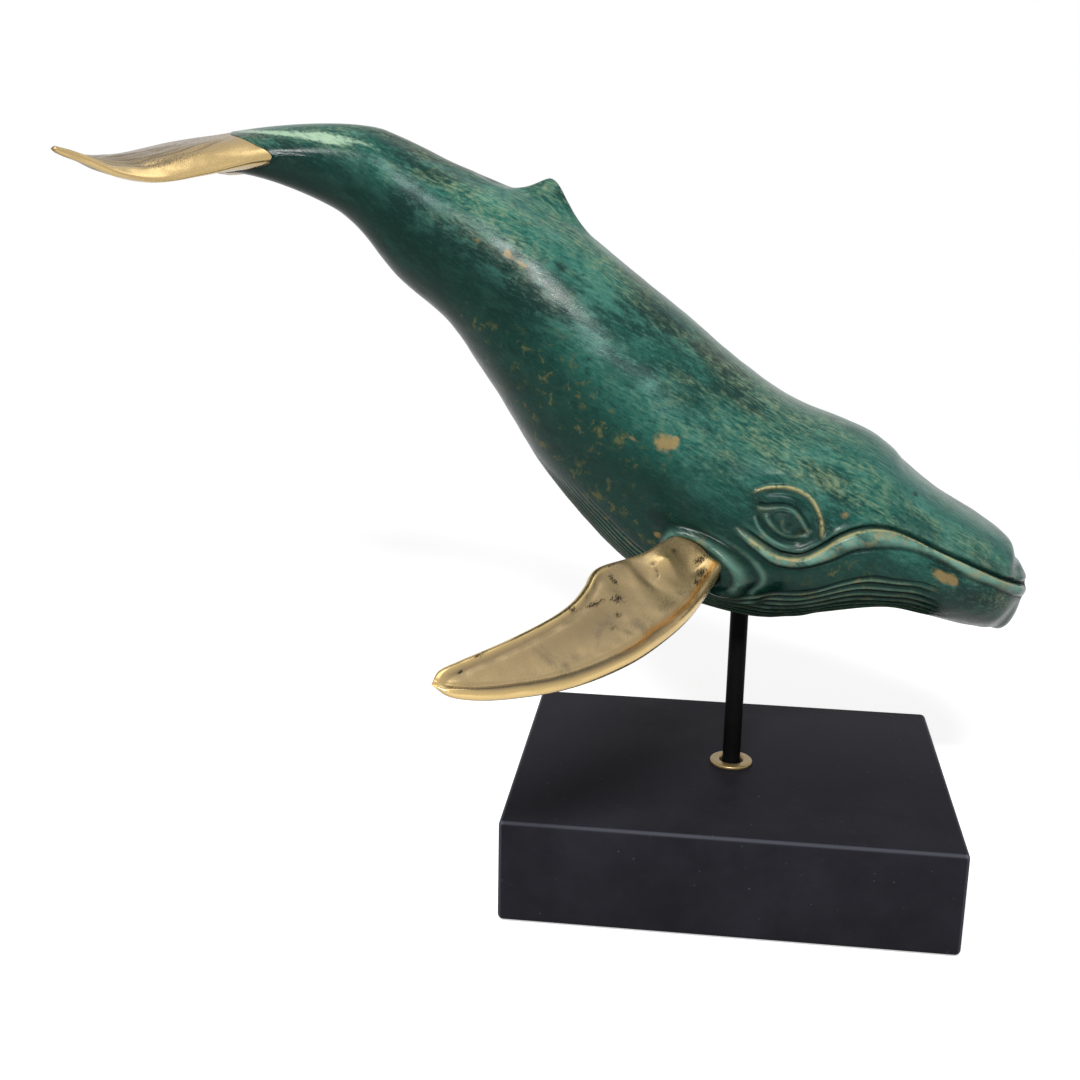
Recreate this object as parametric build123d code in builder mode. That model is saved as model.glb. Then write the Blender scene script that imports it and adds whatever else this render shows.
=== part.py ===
"""Diving humpback whale figurine on a rod and a block base.

A hollow lost-wax brass casting with its fins brazed on turns on the rod of a
painted wooden base. All lengths are in millimetres.
"""
from build123d import *
import math
import os

os.makedirs("parts", exist_ok=True)

# Clearances and overruns
turning_clearance = 0.05
wood_clearance = 0.2
thread_clearance = 0.05
end_play = 0.3

# Whale casting
body_length = 366.0
body_depth = 99.0
body_breadth = 95.0
dive_angle = 28.5
belly_height = 122.0
section_power = 2.2
casting_wall = 4.0
pleat_depth = 1.1
pleat_count = 7
pleat_points = 4
cheek_points = 3
brow_points = 6
hollow_points = 20

# Mouth, lips and eyes, carved in the wax before casting
mouth_depth = 1.8
lip_rise = 1.7
lip_width = 9.5
eye_radius = 6.0
eye_sink = 3.0
eye_socket_radius = 14.0
eye_socket_depth = 3.0

# Back fin
back_fin_length = 46.0
back_fin_breadth = 13.0
back_fin_height = 10.5

# Flippers
flipper_span = 160.0
flipper_chord = 41.0
flipper_thickness = 11.0
flipper_sweep = 32.5
flipper_droop = 4.1
flipper_pitch = 34.5
flipper_sink = 0.1
collar_width = 4.0

# Tail fluke
fluke_span = 160.0
fluke_length = 62.0
fluke_thickness = 15.0
fluke_lift = 1.2
tongue_length = 50.0
tongue_width = 38.0
tongue_setback = 4.0

# Rod, its socket in the belly and its ring in the base
rod_diameter = 8.0
rod_end_diameter = 6.0
socket_wall = 3.5
socket_depth = 26.0
socket_cap = 4.0
ring_diameter = 19.3
ring_thickness = 2.0
ring_hole_diameter = 10.4
ring_neck_diameter = 12.0
ring_neck_length = 8.0

# Base
base_length = 192.0
base_width = 153.0
base_height = 47.0
base_edge_radius = 2.5
felt_thickness = 1.0
felt_inset = 4.0
counterbore_diameter = 24.0
counterbore_depth = 12.0
rod_shoulder_height = 20.0
washer_diameter = 18.0
washer_thickness = 1.6
nut_flats = 10.0
nut_height = 5.0
nut_crown_angle = 30.0
rod_tail = 1.5
rod_chamfer = 0.5
felt_corner_radius = 3.0

# The whale's sections: the station runs from snout to tail as a share of its
# length, and each shape share gives a height or breadth there.
station_shares = [
    -0.0168, -0.0153, -0.012, -0.0068, 0.0, 0.012, 0.024, 0.04, 0.08, 0.13, 0.19, 0.205, 0.22,
    0.235, 0.26, 0.33, 0.41, 0.49, 0.57, 0.65, 0.73, 0.81, 0.88, 0.94, 1.0, 1.04,
]
back_shares = [
    -0.13, -0.107, -0.063, -0.006, 0.049, 0.084, 0.10, 0.151, 0.168, 0.173, 0.204, 0.222, 0.233,
    0.2415, 0.2365, 0.197, 0.2135, 0.265, 0.31, 0.355, 0.361, 0.3236, 0.305, 0.266, 0.1355, 0.0,
]
belly_shares = [
    0.16, 0.178, 0.204, 0.218, 0.2235, 0.24, 0.251, 0.271, 0.31, 0.377, 0.547, 0.602, 0.641,
    0.6805, 0.722, 0.793, 0.778, 0.6985, 0.573, 0.412, 0.272, 0.2144, 0.118, 0.085, 0.08, 0.12,
]
breadth_shares = [
    0.04, 0.10, 0.18, 0.2526, 0.32, 0.47, 0.56, 0.65, 0.78, 0.88, 0.96, 0.97, 0.98,
    0.99, 1.0, 0.99, 0.96, 0.90, 0.82, 0.725, 0.59, 0.47, 0.37, 0.31, 0.34, 0.25,
]
rod_station_share = 0.26

# At the same stations: the height of the mouth line as a share of the body's
# depth, how wide and how deep its lips are cut, and the upper edge of the
# throat pleats in degrees below the widest line, with how deep they are
mouth_shares = [
    -0.135, -0.118, -0.08, -0.03, 0.02, 0.034, 0.034, 0.033, 0.027, 0.016, -0.006, -0.035, -0.078,
    -0.15, -0.285, -0.295, -0.30, -0.30, -0.25, -0.15, -0.05, 0.02, 0.06, 0.07, 0.03, -0.05,
]
lip_width_shares = [
    0.05, 0.12, 0.24, 0.42, 0.55, 0.55, 0.58, 0.6, 0.7, 0.85, 1, 1, 1,
    1, 1, 0.8, 1, 1, 1, 1, 1, 0.8, 0.8, 0.6, 0.5, 0.4,
]
lip_fade_shares = [
    0, 0, 0, 0.3, 0.8, 0.9, 0.95, 1, 1, 1, 1, 1, 1,
    1, 1, 0.7, 0, 0, 0, 0, 0, 0, 0, 0, 0, 0,
]
pleat_edge_angles = [
    8, 8, 8, 8, 8, 8, 8, 8, 8, 8, 16, 20, 24,
    28, 33, 41, 46, 47, 48, 48, 48, 48, 48, 48, 48, 48,
]
pleat_fade_shares = [
    0, 0, 0, 0, 0, 0, 0, 0, 0.7, 1, 1, 1, 1,
    1, 1, 1, 1, 0.8, 0.25, 0, 0, 0, 0, 0, 0, 0,
]

# Relief across the lips: place below the mouth line as a share of the lips'
# width, how far it is cut in as a share of the mouth's depth, and how far it
# stands out as a share of the lips' rise
lip_relief_shares = [
    (1.0, 0, 0), (0.80, 0.45, 0), (0.67, 0.1, 0), (0.55, 0, 0.7), (0.38, 0, 1.0), (0.21, 0, 0.65),
    (0.085, 0.35, 0), (0.0, 1.0, 0), (-0.075, 0.55, 0), (-0.17, 0, 0.1), (-0.32, 0, 0.15),
]
eye_place_shares = (0.289, -0.184)
flipper_place_shares = (0.3496, -0.4995)
fluke_station_share = 0.9755
probe_share = 0.01

# The casting's hollow, and its collars round the flippers
cavity_stations = [0.05, 0.08, 0.13, 0.19, 0.26, 0.33, 0.41, 0.49, 0.57, 0.65, 0.73, 0.81, 0.88]
collar_span_shares = [-0.08, -0.02, 0.008, 0.018]
collar_width_shares = [1.8, 1.3, 0.95, 0.4]

# Back fin: station share of the body, its centre; then its length and breadth
# shares at four levels of its height
back_fin_centre_shares = [0.712, 0.713, 0.715, 0.716]
back_fin_level_shares = [-0.76, 0.10, 0.58, 1.0]
back_fin_length_shares = [1.15, 0.86, 0.46, 0.16]
back_fin_breadth_shares = [1.1, 0.75, 0.48, 0.25]

# Flipper: edges along its span as shares of its chord, from the line that runs
# from the middle of the root to the tip, and its thickness
flipper_span_shares = [-0.056, 0.0, 0.11, 0.22, 0.34, 0.41, 0.50, 0.61, 0.73, 0.84, 0.93, 0.98, 1.0]
leading_edge_shares = [0.26, 0.29, 0.44, 0.55, 0.62, 0.65, 0.655, 0.63, 0.555, 0.44, 0.29, 0.15, 0.02]
trailing_edge_shares = [0.28, 0.30, 0.30, 0.29, 0.335, 0.25, 0.13, 0.08, 0.07, 0.08, 0.10, 0.09, 0.05]
flipper_thick_shares = [0.95, 1.0, 0.98, 0.90, 0.86, 0.80, 0.72, 0.64, 0.57, 0.52, 0.44, 0.30, 0.10]
# Flipper section: chord share from trailing to leading edge, with its upper and
# lower face as shares of the thickness; the upper face is dished
blade_chord_shares = [0.04, 0.20, 0.42, 0.64, 0.82, 0.95]
blade_upper_shares = [0.22, 0.22, 0.17, 0.22, 0.42, 0.36]
blade_lower_shares = [-0.20, -0.38, -0.50, -0.55, -0.52, -0.34]

# Fluke: half-span share, then its front and rear edge, the rise of both edges
# and its thickness, the last as a share of its thickness, the rest of its length
fluke_span_shares = [0.0, 0.15, 0.30, 0.45, 0.60, 0.75, 0.88, 0.96, 1.0]
fluke_front_shares = [0.0, 0.0, 0.20, 0.45, 0.68, 0.87, 1.03, 1.11, 1.16]
fluke_rear_shares = [1.04, 1.16, 1.23, 1.24, 1.24, 1.24, 1.23, 1.21, 1.19]
front_rise_shares = [0.05, 0.02, -0.02, -0.095, -0.145, -0.11, -0.02, 0.02, 0.045]
rear_rise_shares = [0.04, 0.0, -0.02, -0.01, 0.0, 0.02, 0.035, 0.045, 0.047]
fluke_thick_shares = [1.0, 0.95, 0.72, 0.52, 0.40, 0.32, 0.26, 0.22, 0.16]
# Fluke section: length share from front to rear edge, half thickness share
fluke_face_shares = [(0.08, 0.30), (0.30, 0.50), (0.60, 0.34), (0.90, 0.14)]

# Directions of the whale's own frame
dive = math.radians(dive_angle)
tailward = Vector(-math.cos(dive), 0, math.sin(dive))
backward_up = Vector(math.sin(dive), 0, math.cos(dive))
right_side = Vector(0, -1, 0)


def share_at(shares, station):
    """Smooth value between the stations of a table of shares."""
    last = len(station_shares) - 1
    place = min(max(station, station_shares[0]), station_shares[last])
    low = max(i for i in range(last) if station_shares[i] <= place)
    knots = station_shares

    def slope(i):
        before, after = max(i - 1, 0), min(i + 1, last)
        return (shares[after] - shares[before]) / (knots[after] - knots[before])

    step = knots[low + 1] - knots[low]
    t = (place - knots[low]) / step
    rise = shares[low] * (1 + 2 * t) * (1 - t) ** 2 + shares[low + 1] * t * t * (3 - 2 * t)
    lean = slope(low) * t * (1 - t) ** 2 - slope(low + 1) * t * t * (1 - t)
    return rise + lean * step


belly_at_rod = body_depth * share_at(belly_shares, rod_station_share)
chord_at_rod = Vector(0, 0, belly_height) + backward_up * belly_at_rod
fluke_place = chord_at_rod + tailward * (body_length * (fluke_station_share - rod_station_share))
fluke_front, fluke_centre_height = fluke_place.X, fluke_place.Z + fluke_lift


def chord_plane(station):
    """Plane square to the whale's chord: X to its right, Y up, Z to the tail."""
    origin = chord_at_rod + tailward * (body_length * (station - rod_station_share))
    return Plane(origin=origin, x_dir=right_side, z_dir=tailward)


def section_sizes(station, inset=0.0):
    """Middle height, half depth and half breadth of the body at a station."""
    back = body_depth * share_at(back_shares, station) - inset
    belly = body_depth * share_at(belly_shares, station) - inset
    half_breadth = body_breadth / 2 * share_at(breadth_shares, station) - inset
    return (back - belly) / 2, (back + belly) / 2, half_breadth


def flank_point(station, height_share, sink=0.0, side=1):
    """Point on the skin, or a little under it, at a height on the flank."""
    middle, half_depth, half_breadth = section_sizes(station, sink)
    height = body_depth * height_share
    rise = min(abs(height - middle) / half_depth, 1)
    reach = (1 - rise**section_power) ** (1 / section_power)
    return chord_plane(station).origin + backward_up * height + right_side * (side * reach * half_breadth)


def section_point(angle, sizes):
    """Point of a body section at an angle above its widest line."""
    middle, half_depth, half_breadth = sizes
    across, upward = math.cos(math.radians(angle)), math.sin(math.radians(angle))
    x = math.copysign(abs(across) ** (2 / section_power), across) * half_breadth
    y = math.copysign(abs(upward) ** (2 / section_power), upward) * half_depth
    return Vector(x, middle + y)


def spaced_edge(points, periodic=False):
    """Smooth edge through points that count as evenly spaced, so that lofts stay light."""
    steps = len(points) if periodic else len(points) - 1
    spacing = [place / steps for place in range(steps + 1)]
    return Edge.make_spline(points, periodic=periodic, parameters=spacing)


def height_angle(height, sizes):
    """Angle above the widest line at which a section reaches a height."""
    middle, half_depth, _ = sizes
    rise = max(-1, min(1, (height - middle) / half_depth))
    return math.degrees(math.asin(math.copysign(abs(rise) ** (section_power / 2), rise)))


def flank_relief(station, sizes):
    """Angles up the right flank from the pleats to the lips, and their relief."""
    edge = -share_at(pleat_edge_angles, station)
    mouth = height_angle(body_depth * share_at(mouth_shares, station), sizes)
    radius = (section_point(mouth, sizes) - Vector(0, sizes[0])).length
    width = lip_width * share_at(lip_width_shares, station)
    fade = share_at(lip_fade_shares, station)
    lips = [
        (mouth - math.degrees(width * place / radius), fade * (lip_rise * out - mouth_depth * cut))
        for place, cut, out in lip_relief_shares
    ]
    below = [(edge + (lips[0][0] - edge) * i / cheek_points, 0) for i in range(cheek_points)]
    above = [(lips[-1][0] + (90 - lips[-1][0]) * i / brow_points, 0) for i in range(1, brow_points)]
    return below + lips + above


def relieved_point(angle, relief, sizes):
    """Section point moved out of the skin, or into it, by a relief."""
    point = section_point(angle, sizes)
    return point + (point - Vector(0, sizes[0])).normalized() * relief


def skin_edges(station):
    """Edges of one skin section: over the back with its lips, and under the throat with its pleats."""
    sizes = section_sizes(station)
    edge = -share_at(pleat_edge_angles, station)
    depth = pleat_depth * share_at(pleat_fade_shares, station)
    right = flank_relief(station, sizes)
    left = [(180 - angle, relief) for angle, relief in right[::-1]]
    over = [relieved_point(angle, relief, sizes) for angle, relief in right + [(90, 0)] + left]
    steps = 2 * pleat_count * pleat_points
    under = []
    for i in range(steps + 1):
        wave = 0.5 - 0.5 * math.cos(math.tau * i / pleat_points)
        angle = 180 - edge + (180 + 2 * edge) * i / steps
        under.append(relieved_point(angle, -depth * wave, sizes))
    return [spaced_edge(over), spaced_edge(under)]


def skin_section(station):
    """Face of one section of the outer skin, standing at its station."""
    with BuildSketch(chord_plane(station)) as section:
        with BuildLine():
            add(skin_edges(station))
        make_face()
    return section.sketch


def hollow_section(station):
    """Face of one section of the casting's hollow."""
    sizes = section_sizes(station, casting_wall)
    points = [section_point(90 + 360 * i / hollow_points, sizes) for i in range(hollow_points)]
    with BuildSketch(chord_plane(station)) as section:
        with BuildLine():
            add(spaced_edge(points, periodic=True))
        make_face()
    return section.sketch


def flipper_plane(share):
    """Plane across the right flipper: X to its leading edge, Y up, Z to its tip."""
    sweep, droop = math.radians(flipper_sweep), math.radians(flipper_droop)
    pitch = math.radians(flipper_pitch)
    span = Vector(-math.sin(sweep) * math.cos(droop), -math.cos(sweep) * math.cos(droop), -math.sin(droop))
    level = Vector(math.cos(sweep), -math.sin(sweep), 0)
    upward = span.cross(level)
    chord = level * math.cos(pitch) - upward * math.sin(pitch)
    root = flank_point(*flipper_place_shares, flipper_sink)
    return Plane(origin=root + span * (flipper_span * share), x_dir=chord, z_dir=span)


def blade_points(lead, trail, thickness):
    """Closed outline of a flipper section, from its trailing edge round."""
    chord = lead + trail
    upper = [
        (chord * share - trail, thickness * height)
        for share, height in zip(blade_chord_shares, blade_upper_shares)
    ]
    lower = [
        (chord * share - trail, thickness * height)
        for share, height in zip(blade_chord_shares, blade_lower_shares)
    ]
    return [(-trail, 0)] + upper + [(lead, 0)] + lower[::-1]


def blade_section(share, lead, trail, thickness):
    """Face of the right flipper's section at a share of its span."""
    with BuildSketch(flipper_plane(share)) as section:
        with BuildLine():
            add(spaced_edge(blade_points(lead, trail, thickness), periodic=True))
        make_face()
    return section.sketch


def fluke_section(share, side):
    """Face of the fluke's section at a share of its half span, on one side."""
    reach = share * fluke_span / 2
    front = fluke_front - fluke_length * value_at(fluke_front_shares, share)
    rear = fluke_front - fluke_length * value_at(fluke_rear_shares, share)
    thickness = fluke_thickness * value_at(fluke_thick_shares, share)
    front_rise = fluke_length * value_at(front_rise_shares, share)
    rear_rise = fluke_length * value_at(rear_rise_shares, share)
    upper = [(0, 0)] + fluke_face_shares
    lower = [(place, -level) for place, level in [(1, 0)] + fluke_face_shares[::-1]]
    points = [
        (-front + (front - rear) * place, front_rise + (rear_rise - front_rise) * place + thickness * level)
        for place, level in upper + lower
    ]
    plane = Plane(origin=(0, -side * reach, fluke_centre_height), x_dir=(-1, 0, 0), z_dir=(0, 1, 0))
    with BuildSketch(plane) as section:
        with BuildLine():
            add(spaced_edge(points, periodic=True))
        make_face()
    return section.sketch


def value_at(shares, share):
    """Value of a table of the fluke's shares at one of its own span shares."""
    return shares[fluke_span_shares.index(share)]


def flank_direction(station, height_share, side):
    """Direction straight out of the skin at a place on the flank."""
    ahead = flank_point(station - probe_share, height_share, 0, side)
    behind = flank_point(station + probe_share, height_share, 0, side)
    above = flank_point(station, height_share + probe_share, 0, side)
    below = flank_point(station, height_share - probe_share, 0, side)
    return ((ahead - behind).cross(above - below) * side).normalized()


# The outer skin of the casting, kept by itself to trim other pieces
with BuildPart() as outer_skin:
    loft([skin_section(station) for station in station_shares])

# Right flipper: a blade lofted through sections across its span
with BuildPart() as right_flipper:
    loft([
        blade_section(share, flipper_chord * lead, flipper_chord * trail, flipper_thickness * thick)
        for share, lead, trail, thick in zip(
            flipper_span_shares, leading_edge_shares, trailing_edge_shares, flipper_thick_shares
        )
    ])
with BuildPart() as left_flipper:
    add(right_flipper.part.mirror(Plane.XZ))

# Tail fluke, lofted from tip to tip
sides = [(share, 1) for share in fluke_span_shares[::-1]] + [(share, -1) for share in fluke_span_shares[1:]]
with BuildPart() as fluke_blank:
    loft([fluke_section(share, side) for share, side in sides])


# The rod's place, worked out from the belly down
rod_top = belly_height + socket_depth - end_play
counterbore_top = felt_thickness + counterbore_depth
washer_bottom = counterbore_top - washer_thickness
nut_bottom = washer_bottom - nut_height
rod_bottom = nut_bottom - rod_tail
nut_flat, nut_corner = nut_flats / 2, nut_flats / math.sqrt(3)
nut_slope = (nut_corner - nut_flat) * math.tan(math.radians(nut_crown_angle))
ring_seat = base_height - ring_neck_length
ring_bore, ring_neck, ring_round = ring_hole_diameter / 2, ring_neck_diameter / 2, ring_thickness / 2
ring_flat, ring_top = ring_diameter / 2 - ring_round, base_height + ring_thickness

# Hollow of the casting, its back fin and the collar round the right flipper
with BuildPart() as cavity:
    loft([hollow_section(station) for station in cavity_stations])

fin_levels = []
for station, level, long_share, broad_share in zip(
    back_fin_centre_shares, back_fin_level_shares, back_fin_length_shares, back_fin_breadth_shares
):
    back = body_depth * share_at(back_shares, back_fin_centre_shares[0])
    middle = chord_plane(station).origin + backward_up * (back + back_fin_height * level)
    with BuildSketch(Plane(origin=middle, x_dir=tailward, z_dir=backward_up)) as fin_level:
        Ellipse(back_fin_length * long_share / 2, back_fin_breadth * broad_share / 2)
    fin_levels.append(fin_level.sketch)
with BuildPart() as back_fin:
    loft(fin_levels)

root_lead = flipper_chord * leading_edge_shares[1]
root_trail = flipper_chord * trailing_edge_shares[1]
with BuildPart() as collar:
    loft([
        blade_section(
            share,
            root_lead + collar_width * wide,
            root_trail + collar_width * wide,
            flipper_thickness + 2 * collar_width * wide,
        )
        for share, wide in zip(collar_span_shares, collar_width_shares)
    ])

# The green tongue of the tail, a round step in the brass of the fluke
with BuildPart() as tongue_post:
    with BuildSketch(Plane.XY.offset(fluke_centre_height - fluke_length)):
        with Locations((fluke_front - tongue_setback, 0)):
            Ellipse(tongue_length / 2, tongue_width / 2)
    extrude(amount=2 * fluke_length)
with BuildPart() as tail_tongue:
    add(tongue_post.part)
    add(fluke_blank.part, mode=Mode.INTERSECT)

# Whale body: the hollow casting with its back fin, collars and eyes
with BuildPart() as whale_body:
    add(outer_skin.part)
    add(tail_tongue.part)
    add(cavity.part, mode=Mode.SUBTRACT)
    add(back_fin.part)
    add(collar.part)
    add(collar.part.mirror(Plane.XZ))
    for side in (1, -1):
        eye = flank_point(*eye_place_shares, 0, side)
        outward = flank_direction(*eye_place_shares, side)
        with Locations(eye + outward * (eye_socket_radius - eye_socket_depth)):
            Sphere(eye_socket_radius, mode=Mode.SUBTRACT)
        with Locations(eye - outward * (eye_radius - eye_socket_depth + eye_sink)):
            Sphere(eye_radius)
    add([right_flipper.part, left_flipper.part], mode=Mode.SUBTRACT)
    with BuildSketch(Plane.XY.offset(belly_height - socket_depth)):
        Circle(rod_diameter / 2 + socket_wall)
    extrude(amount=2 * socket_depth, mode=Mode.SUBTRACT)

# Tail fluke: what of its blank the tail leaves
with BuildPart() as tail_fluke:
    add(fluke_blank.part)
    add(tongue_post.part, mode=Mode.SUBTRACT)
    add(outer_skin.part, mode=Mode.SUBTRACT)

# Rod socket: a blind brass boss brazed into the belly and dressed flush with it
with BuildPart() as rod_socket:
    with BuildSketch(Plane.XY.offset(belly_height - socket_depth)):
        Circle(rod_diameter / 2 + socket_wall)
    extrude(amount=2 * socket_depth + socket_cap)
    with BuildSketch(Plane.XY.offset(belly_height - socket_depth)):
        Circle(rod_diameter / 2 + turning_clearance)
    extrude(amount=2 * socket_depth, mode=Mode.SUBTRACT)
    add(outer_skin.part, mode=Mode.INTERSECT)

# Support rod: turned down at the foot for its thread
with BuildPart() as support_rod:
    with BuildSketch(Plane.XY.offset(rod_shoulder_height)):
        Circle(rod_diameter / 2)
    extrude(amount=rod_top - rod_shoulder_height)
    with BuildSketch(Plane.XY.offset(rod_bottom)):
        Circle(rod_end_diameter / 2)
    extrude(amount=rod_shoulder_height - rod_bottom)
    chamfer(support_rod.edges().group_by(Axis.Z)[0] + support_rod.edges().group_by(Axis.Z)[-1], rod_chamfer)

# Rod ring: a turned brass eyelet with a round flange and a neck in the wood
with BuildPart() as rod_ring:
    with BuildSketch(Plane.XZ):
        with BuildLine():
            Line((ring_bore, ring_seat), (ring_neck, ring_seat))
            Line((ring_neck, ring_seat), (ring_neck, base_height))
            Line((ring_neck, base_height), (ring_flat, base_height))
            RadiusArc((ring_flat, base_height), (ring_flat, ring_top), -ring_round)
            Line((ring_flat, ring_top), (ring_bore + ring_round, ring_top))
            RadiusArc((ring_bore + ring_round, ring_top), (ring_bore, ring_top - ring_round), -ring_round)
            Line((ring_bore, ring_top - ring_round), (ring_bore, ring_seat))
        make_face()
    revolve(axis=Axis.Z)

# Base block: wood with eased edges, a stepped hole for the rod and a
# counterbore under it for the nut
with BuildPart() as base_block:
    with BuildSketch(Plane.XY.offset(felt_thickness)):
        Rectangle(base_length, base_width)
    extrude(amount=base_height - felt_thickness)
    fillet(base_block.edges(), base_edge_radius)
    with BuildSketch(Plane.XY.offset(felt_thickness)):
        Circle(counterbore_diameter / 2)
    extrude(amount=counterbore_depth, mode=Mode.SUBTRACT)
    with BuildSketch(Plane.XY.offset(counterbore_top)):
        Circle(rod_end_diameter / 2 + wood_clearance)
    extrude(amount=rod_shoulder_height - counterbore_top, mode=Mode.SUBTRACT)
    with BuildSketch(Plane.XY.offset(rod_shoulder_height)):
        Circle(rod_diameter / 2 + wood_clearance)
    extrude(amount=base_height - rod_shoulder_height, mode=Mode.SUBTRACT)
    with BuildSketch(Plane.XY.offset(ring_seat)):
        Circle(ring_neck_diameter / 2)
    extrude(amount=ring_neck_length, mode=Mode.SUBTRACT)

# Washer and nut that clamp the rod from below
with BuildPart() as base_washer:
    with BuildSketch(Plane.XY.offset(washer_bottom)):
        Circle(washer_diameter / 2)
        Circle(rod_end_diameter / 2 + wood_clearance, mode=Mode.SUBTRACT)
    extrude(amount=washer_thickness)
with BuildPart() as base_nut:
    with BuildSketch(Plane.XY.offset(nut_bottom)):
        RegularPolygon(nut_flats / 2, 6, major_radius=False)
        Circle(rod_end_diameter / 2 + thread_clearance, mode=Mode.SUBTRACT)
    extrude(amount=nut_height)
    with BuildSketch(Plane.XZ):
        with BuildLine():
            Polyline(
                (0, nut_bottom), (nut_flat, nut_bottom), (nut_corner, nut_bottom + nut_slope),
                (nut_corner, washer_bottom - nut_slope), (nut_flat, washer_bottom), (0, washer_bottom),
                close=True,
            )
        make_face()
    revolve(axis=Axis.Z, mode=Mode.INTERSECT)

# Felt sheet under the base, over the counterbore
with BuildPart() as base_felt:
    with BuildSketch():
        RectangleRounded(base_length - 2 * felt_inset, base_width - 2 * felt_inset, felt_corner_radius)
    extrude(amount=felt_thickness)

pieces = {
    "whale_body": whale_body,
    "right_flipper": right_flipper,
    "left_flipper": left_flipper,
    "tail_fluke": tail_fluke,
    "rod_socket": rod_socket,
    "support_rod": support_rod,
    "rod_ring": rod_ring,
    "base_block": base_block,
    "base_washer": base_washer,
    "base_nut": base_nut,
    "base_felt": base_felt,
}
for piece_name, piece in pieces.items():
    piece.part.label = piece_name
    export_step(piece.part, f"parts/{piece_name}.step")
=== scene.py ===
"""A diving humpback whale on a rod: brass cast and patinated, with bare polished fins.

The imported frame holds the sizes, the joint and the bodies. This script gives each piece its
carved and finished surface, and sets the studio and the camera. Lengths are in millimetres
until a mesh is written.
"""
import logging
import math
from dataclasses import dataclass
from enum import Enum

import bpy
import numpy as np
from mathutils import Matrix, Vector


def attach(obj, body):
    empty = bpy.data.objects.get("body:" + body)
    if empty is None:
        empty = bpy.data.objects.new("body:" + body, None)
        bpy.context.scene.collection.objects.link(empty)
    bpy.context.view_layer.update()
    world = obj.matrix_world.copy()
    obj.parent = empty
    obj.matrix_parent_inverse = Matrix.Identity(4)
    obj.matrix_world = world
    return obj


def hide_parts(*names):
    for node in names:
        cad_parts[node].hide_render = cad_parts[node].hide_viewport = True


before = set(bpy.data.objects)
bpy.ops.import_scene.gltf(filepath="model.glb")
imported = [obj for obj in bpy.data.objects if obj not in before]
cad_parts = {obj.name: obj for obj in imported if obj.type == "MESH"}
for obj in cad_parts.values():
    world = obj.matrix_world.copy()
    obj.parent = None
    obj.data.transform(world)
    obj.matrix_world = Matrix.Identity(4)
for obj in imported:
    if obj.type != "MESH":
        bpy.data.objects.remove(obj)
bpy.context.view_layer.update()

MM = 0.001
WHALE_BODY = "whale"
STAND_BODY = "stand"
log = logging.getLogger("whale")


class Side(Enum):
    """Side of the whale; the value is the sign of Y there."""

    RIGHT = -1
    LEFT = 1


class Mark(Enum):
    """What a carved line leaves on the patina."""

    # Rubbed ridges, partly painted highlight on the eye and its lids
    RIDGE = "ridge"
    GROOVE = "groove"
    GILT = "gilt"


# Points of a line, or a place and a value in each pair
Line = tuple[tuple[float, float], ...]
# Height, length from crest to crest and seed of each set of waves
Waves = tuple[tuple[float, float, int], ...]
# The rise at each place, and the strength of each mark there
Relief = tuple[np.ndarray, dict[Mark, np.ndarray]]


# General helpers


def linear(colour: str) -> tuple[float, float, float, float]:
    """Turns an sRGB hex colour into linear light.

    Args:
        colour: Six hex digits after a hash sign.

    Returns:
        Red, green, blue and an alpha of one.
    """
    parts = [int(colour[i:i + 2], 16) / 255 for i in (1, 3, 5)]
    return (*[c / 12.92 if c <= 0.04045 else ((c + 0.055) / 1.055) ** 2.4 for c in parts], 1.0)


def join(tree: bpy.types.NodeTree, made: bpy.types.Node, inputs: dict) -> None:
    """Links nodes and sockets to a node's inputs, and sets plain values on them.

    Args:
        tree: The material's or world's node tree.
        made: The node.
        inputs: Values, nodes or sockets, by the input's name or number.
    """
    for key, value in inputs.items():
        if isinstance(value, bpy.types.Node):
            value = value.outputs[0]
        if isinstance(value, bpy.types.NodeSocket):
            tree.links.new(value, made.inputs[key])
        else:
            made.inputs[key].default_value = value


def node(
    tree: bpy.types.NodeTree, kind: str, inputs: dict | None = None, **settings: object
) -> bpy.types.Node:
    """Adds one shader node with its settings and links.

    Args:
        tree: The material's or world's node tree.
        kind: What follows "ShaderNode" in the node's type.
        inputs: Values, nodes or sockets for the node's inputs, by name or number.
        **settings: Other attributes of the node.

    Returns:
        The new node.
    """
    made = tree.nodes.new("ShaderNode" + kind)
    for name, value in settings.items():
        setattr(made, name, value)
    join(tree, made, inputs or {})
    return made


def smooth_step(value: np.ndarray) -> np.ndarray:
    """Eases a value from zero to one."""
    value = np.clip(value, 0, 1)
    return value * value * (3 - 2 * value)


def bell(distance: np.ndarray, width: float) -> np.ndarray:
    """Bell curve that is one at no distance and falls off over a width."""
    return np.exp(-((distance / width) ** 2))


def reach(along: np.ndarray, across: np.ndarray, place: tuple[float, ...]) -> np.ndarray:
    """Measures from the middle of an oval place, in its own half widths.

    Args:
        along: Distances along the piece.
        across: Distances across it.
        place: Middle along and across, and half width along and across.

    Returns:
        The distances; one lies on the oval.
    """
    middle, side, half_length, half_width = place[:4]
    return np.hypot((along - middle) / half_length, (across - side) / half_width)


def spot(
    along: np.ndarray, across: np.ndarray, place: tuple[float, ...], width: float = 1.0
) -> np.ndarray:
    """Soft oval place that falls off over a width."""
    return bell(reach(along, across, place), width)


def arc(share: np.ndarray) -> np.ndarray:
    """Angle on a half circle above a share of its width."""
    return np.arccos(1 - 2 * np.clip(np.asarray(share, float), 0, 1))


def straight_at(line: Line, place: np.ndarray) -> np.ndarray:
    """Height of a line of straight runs at places along it."""
    return np.interp(place, *zip(*line))


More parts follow.
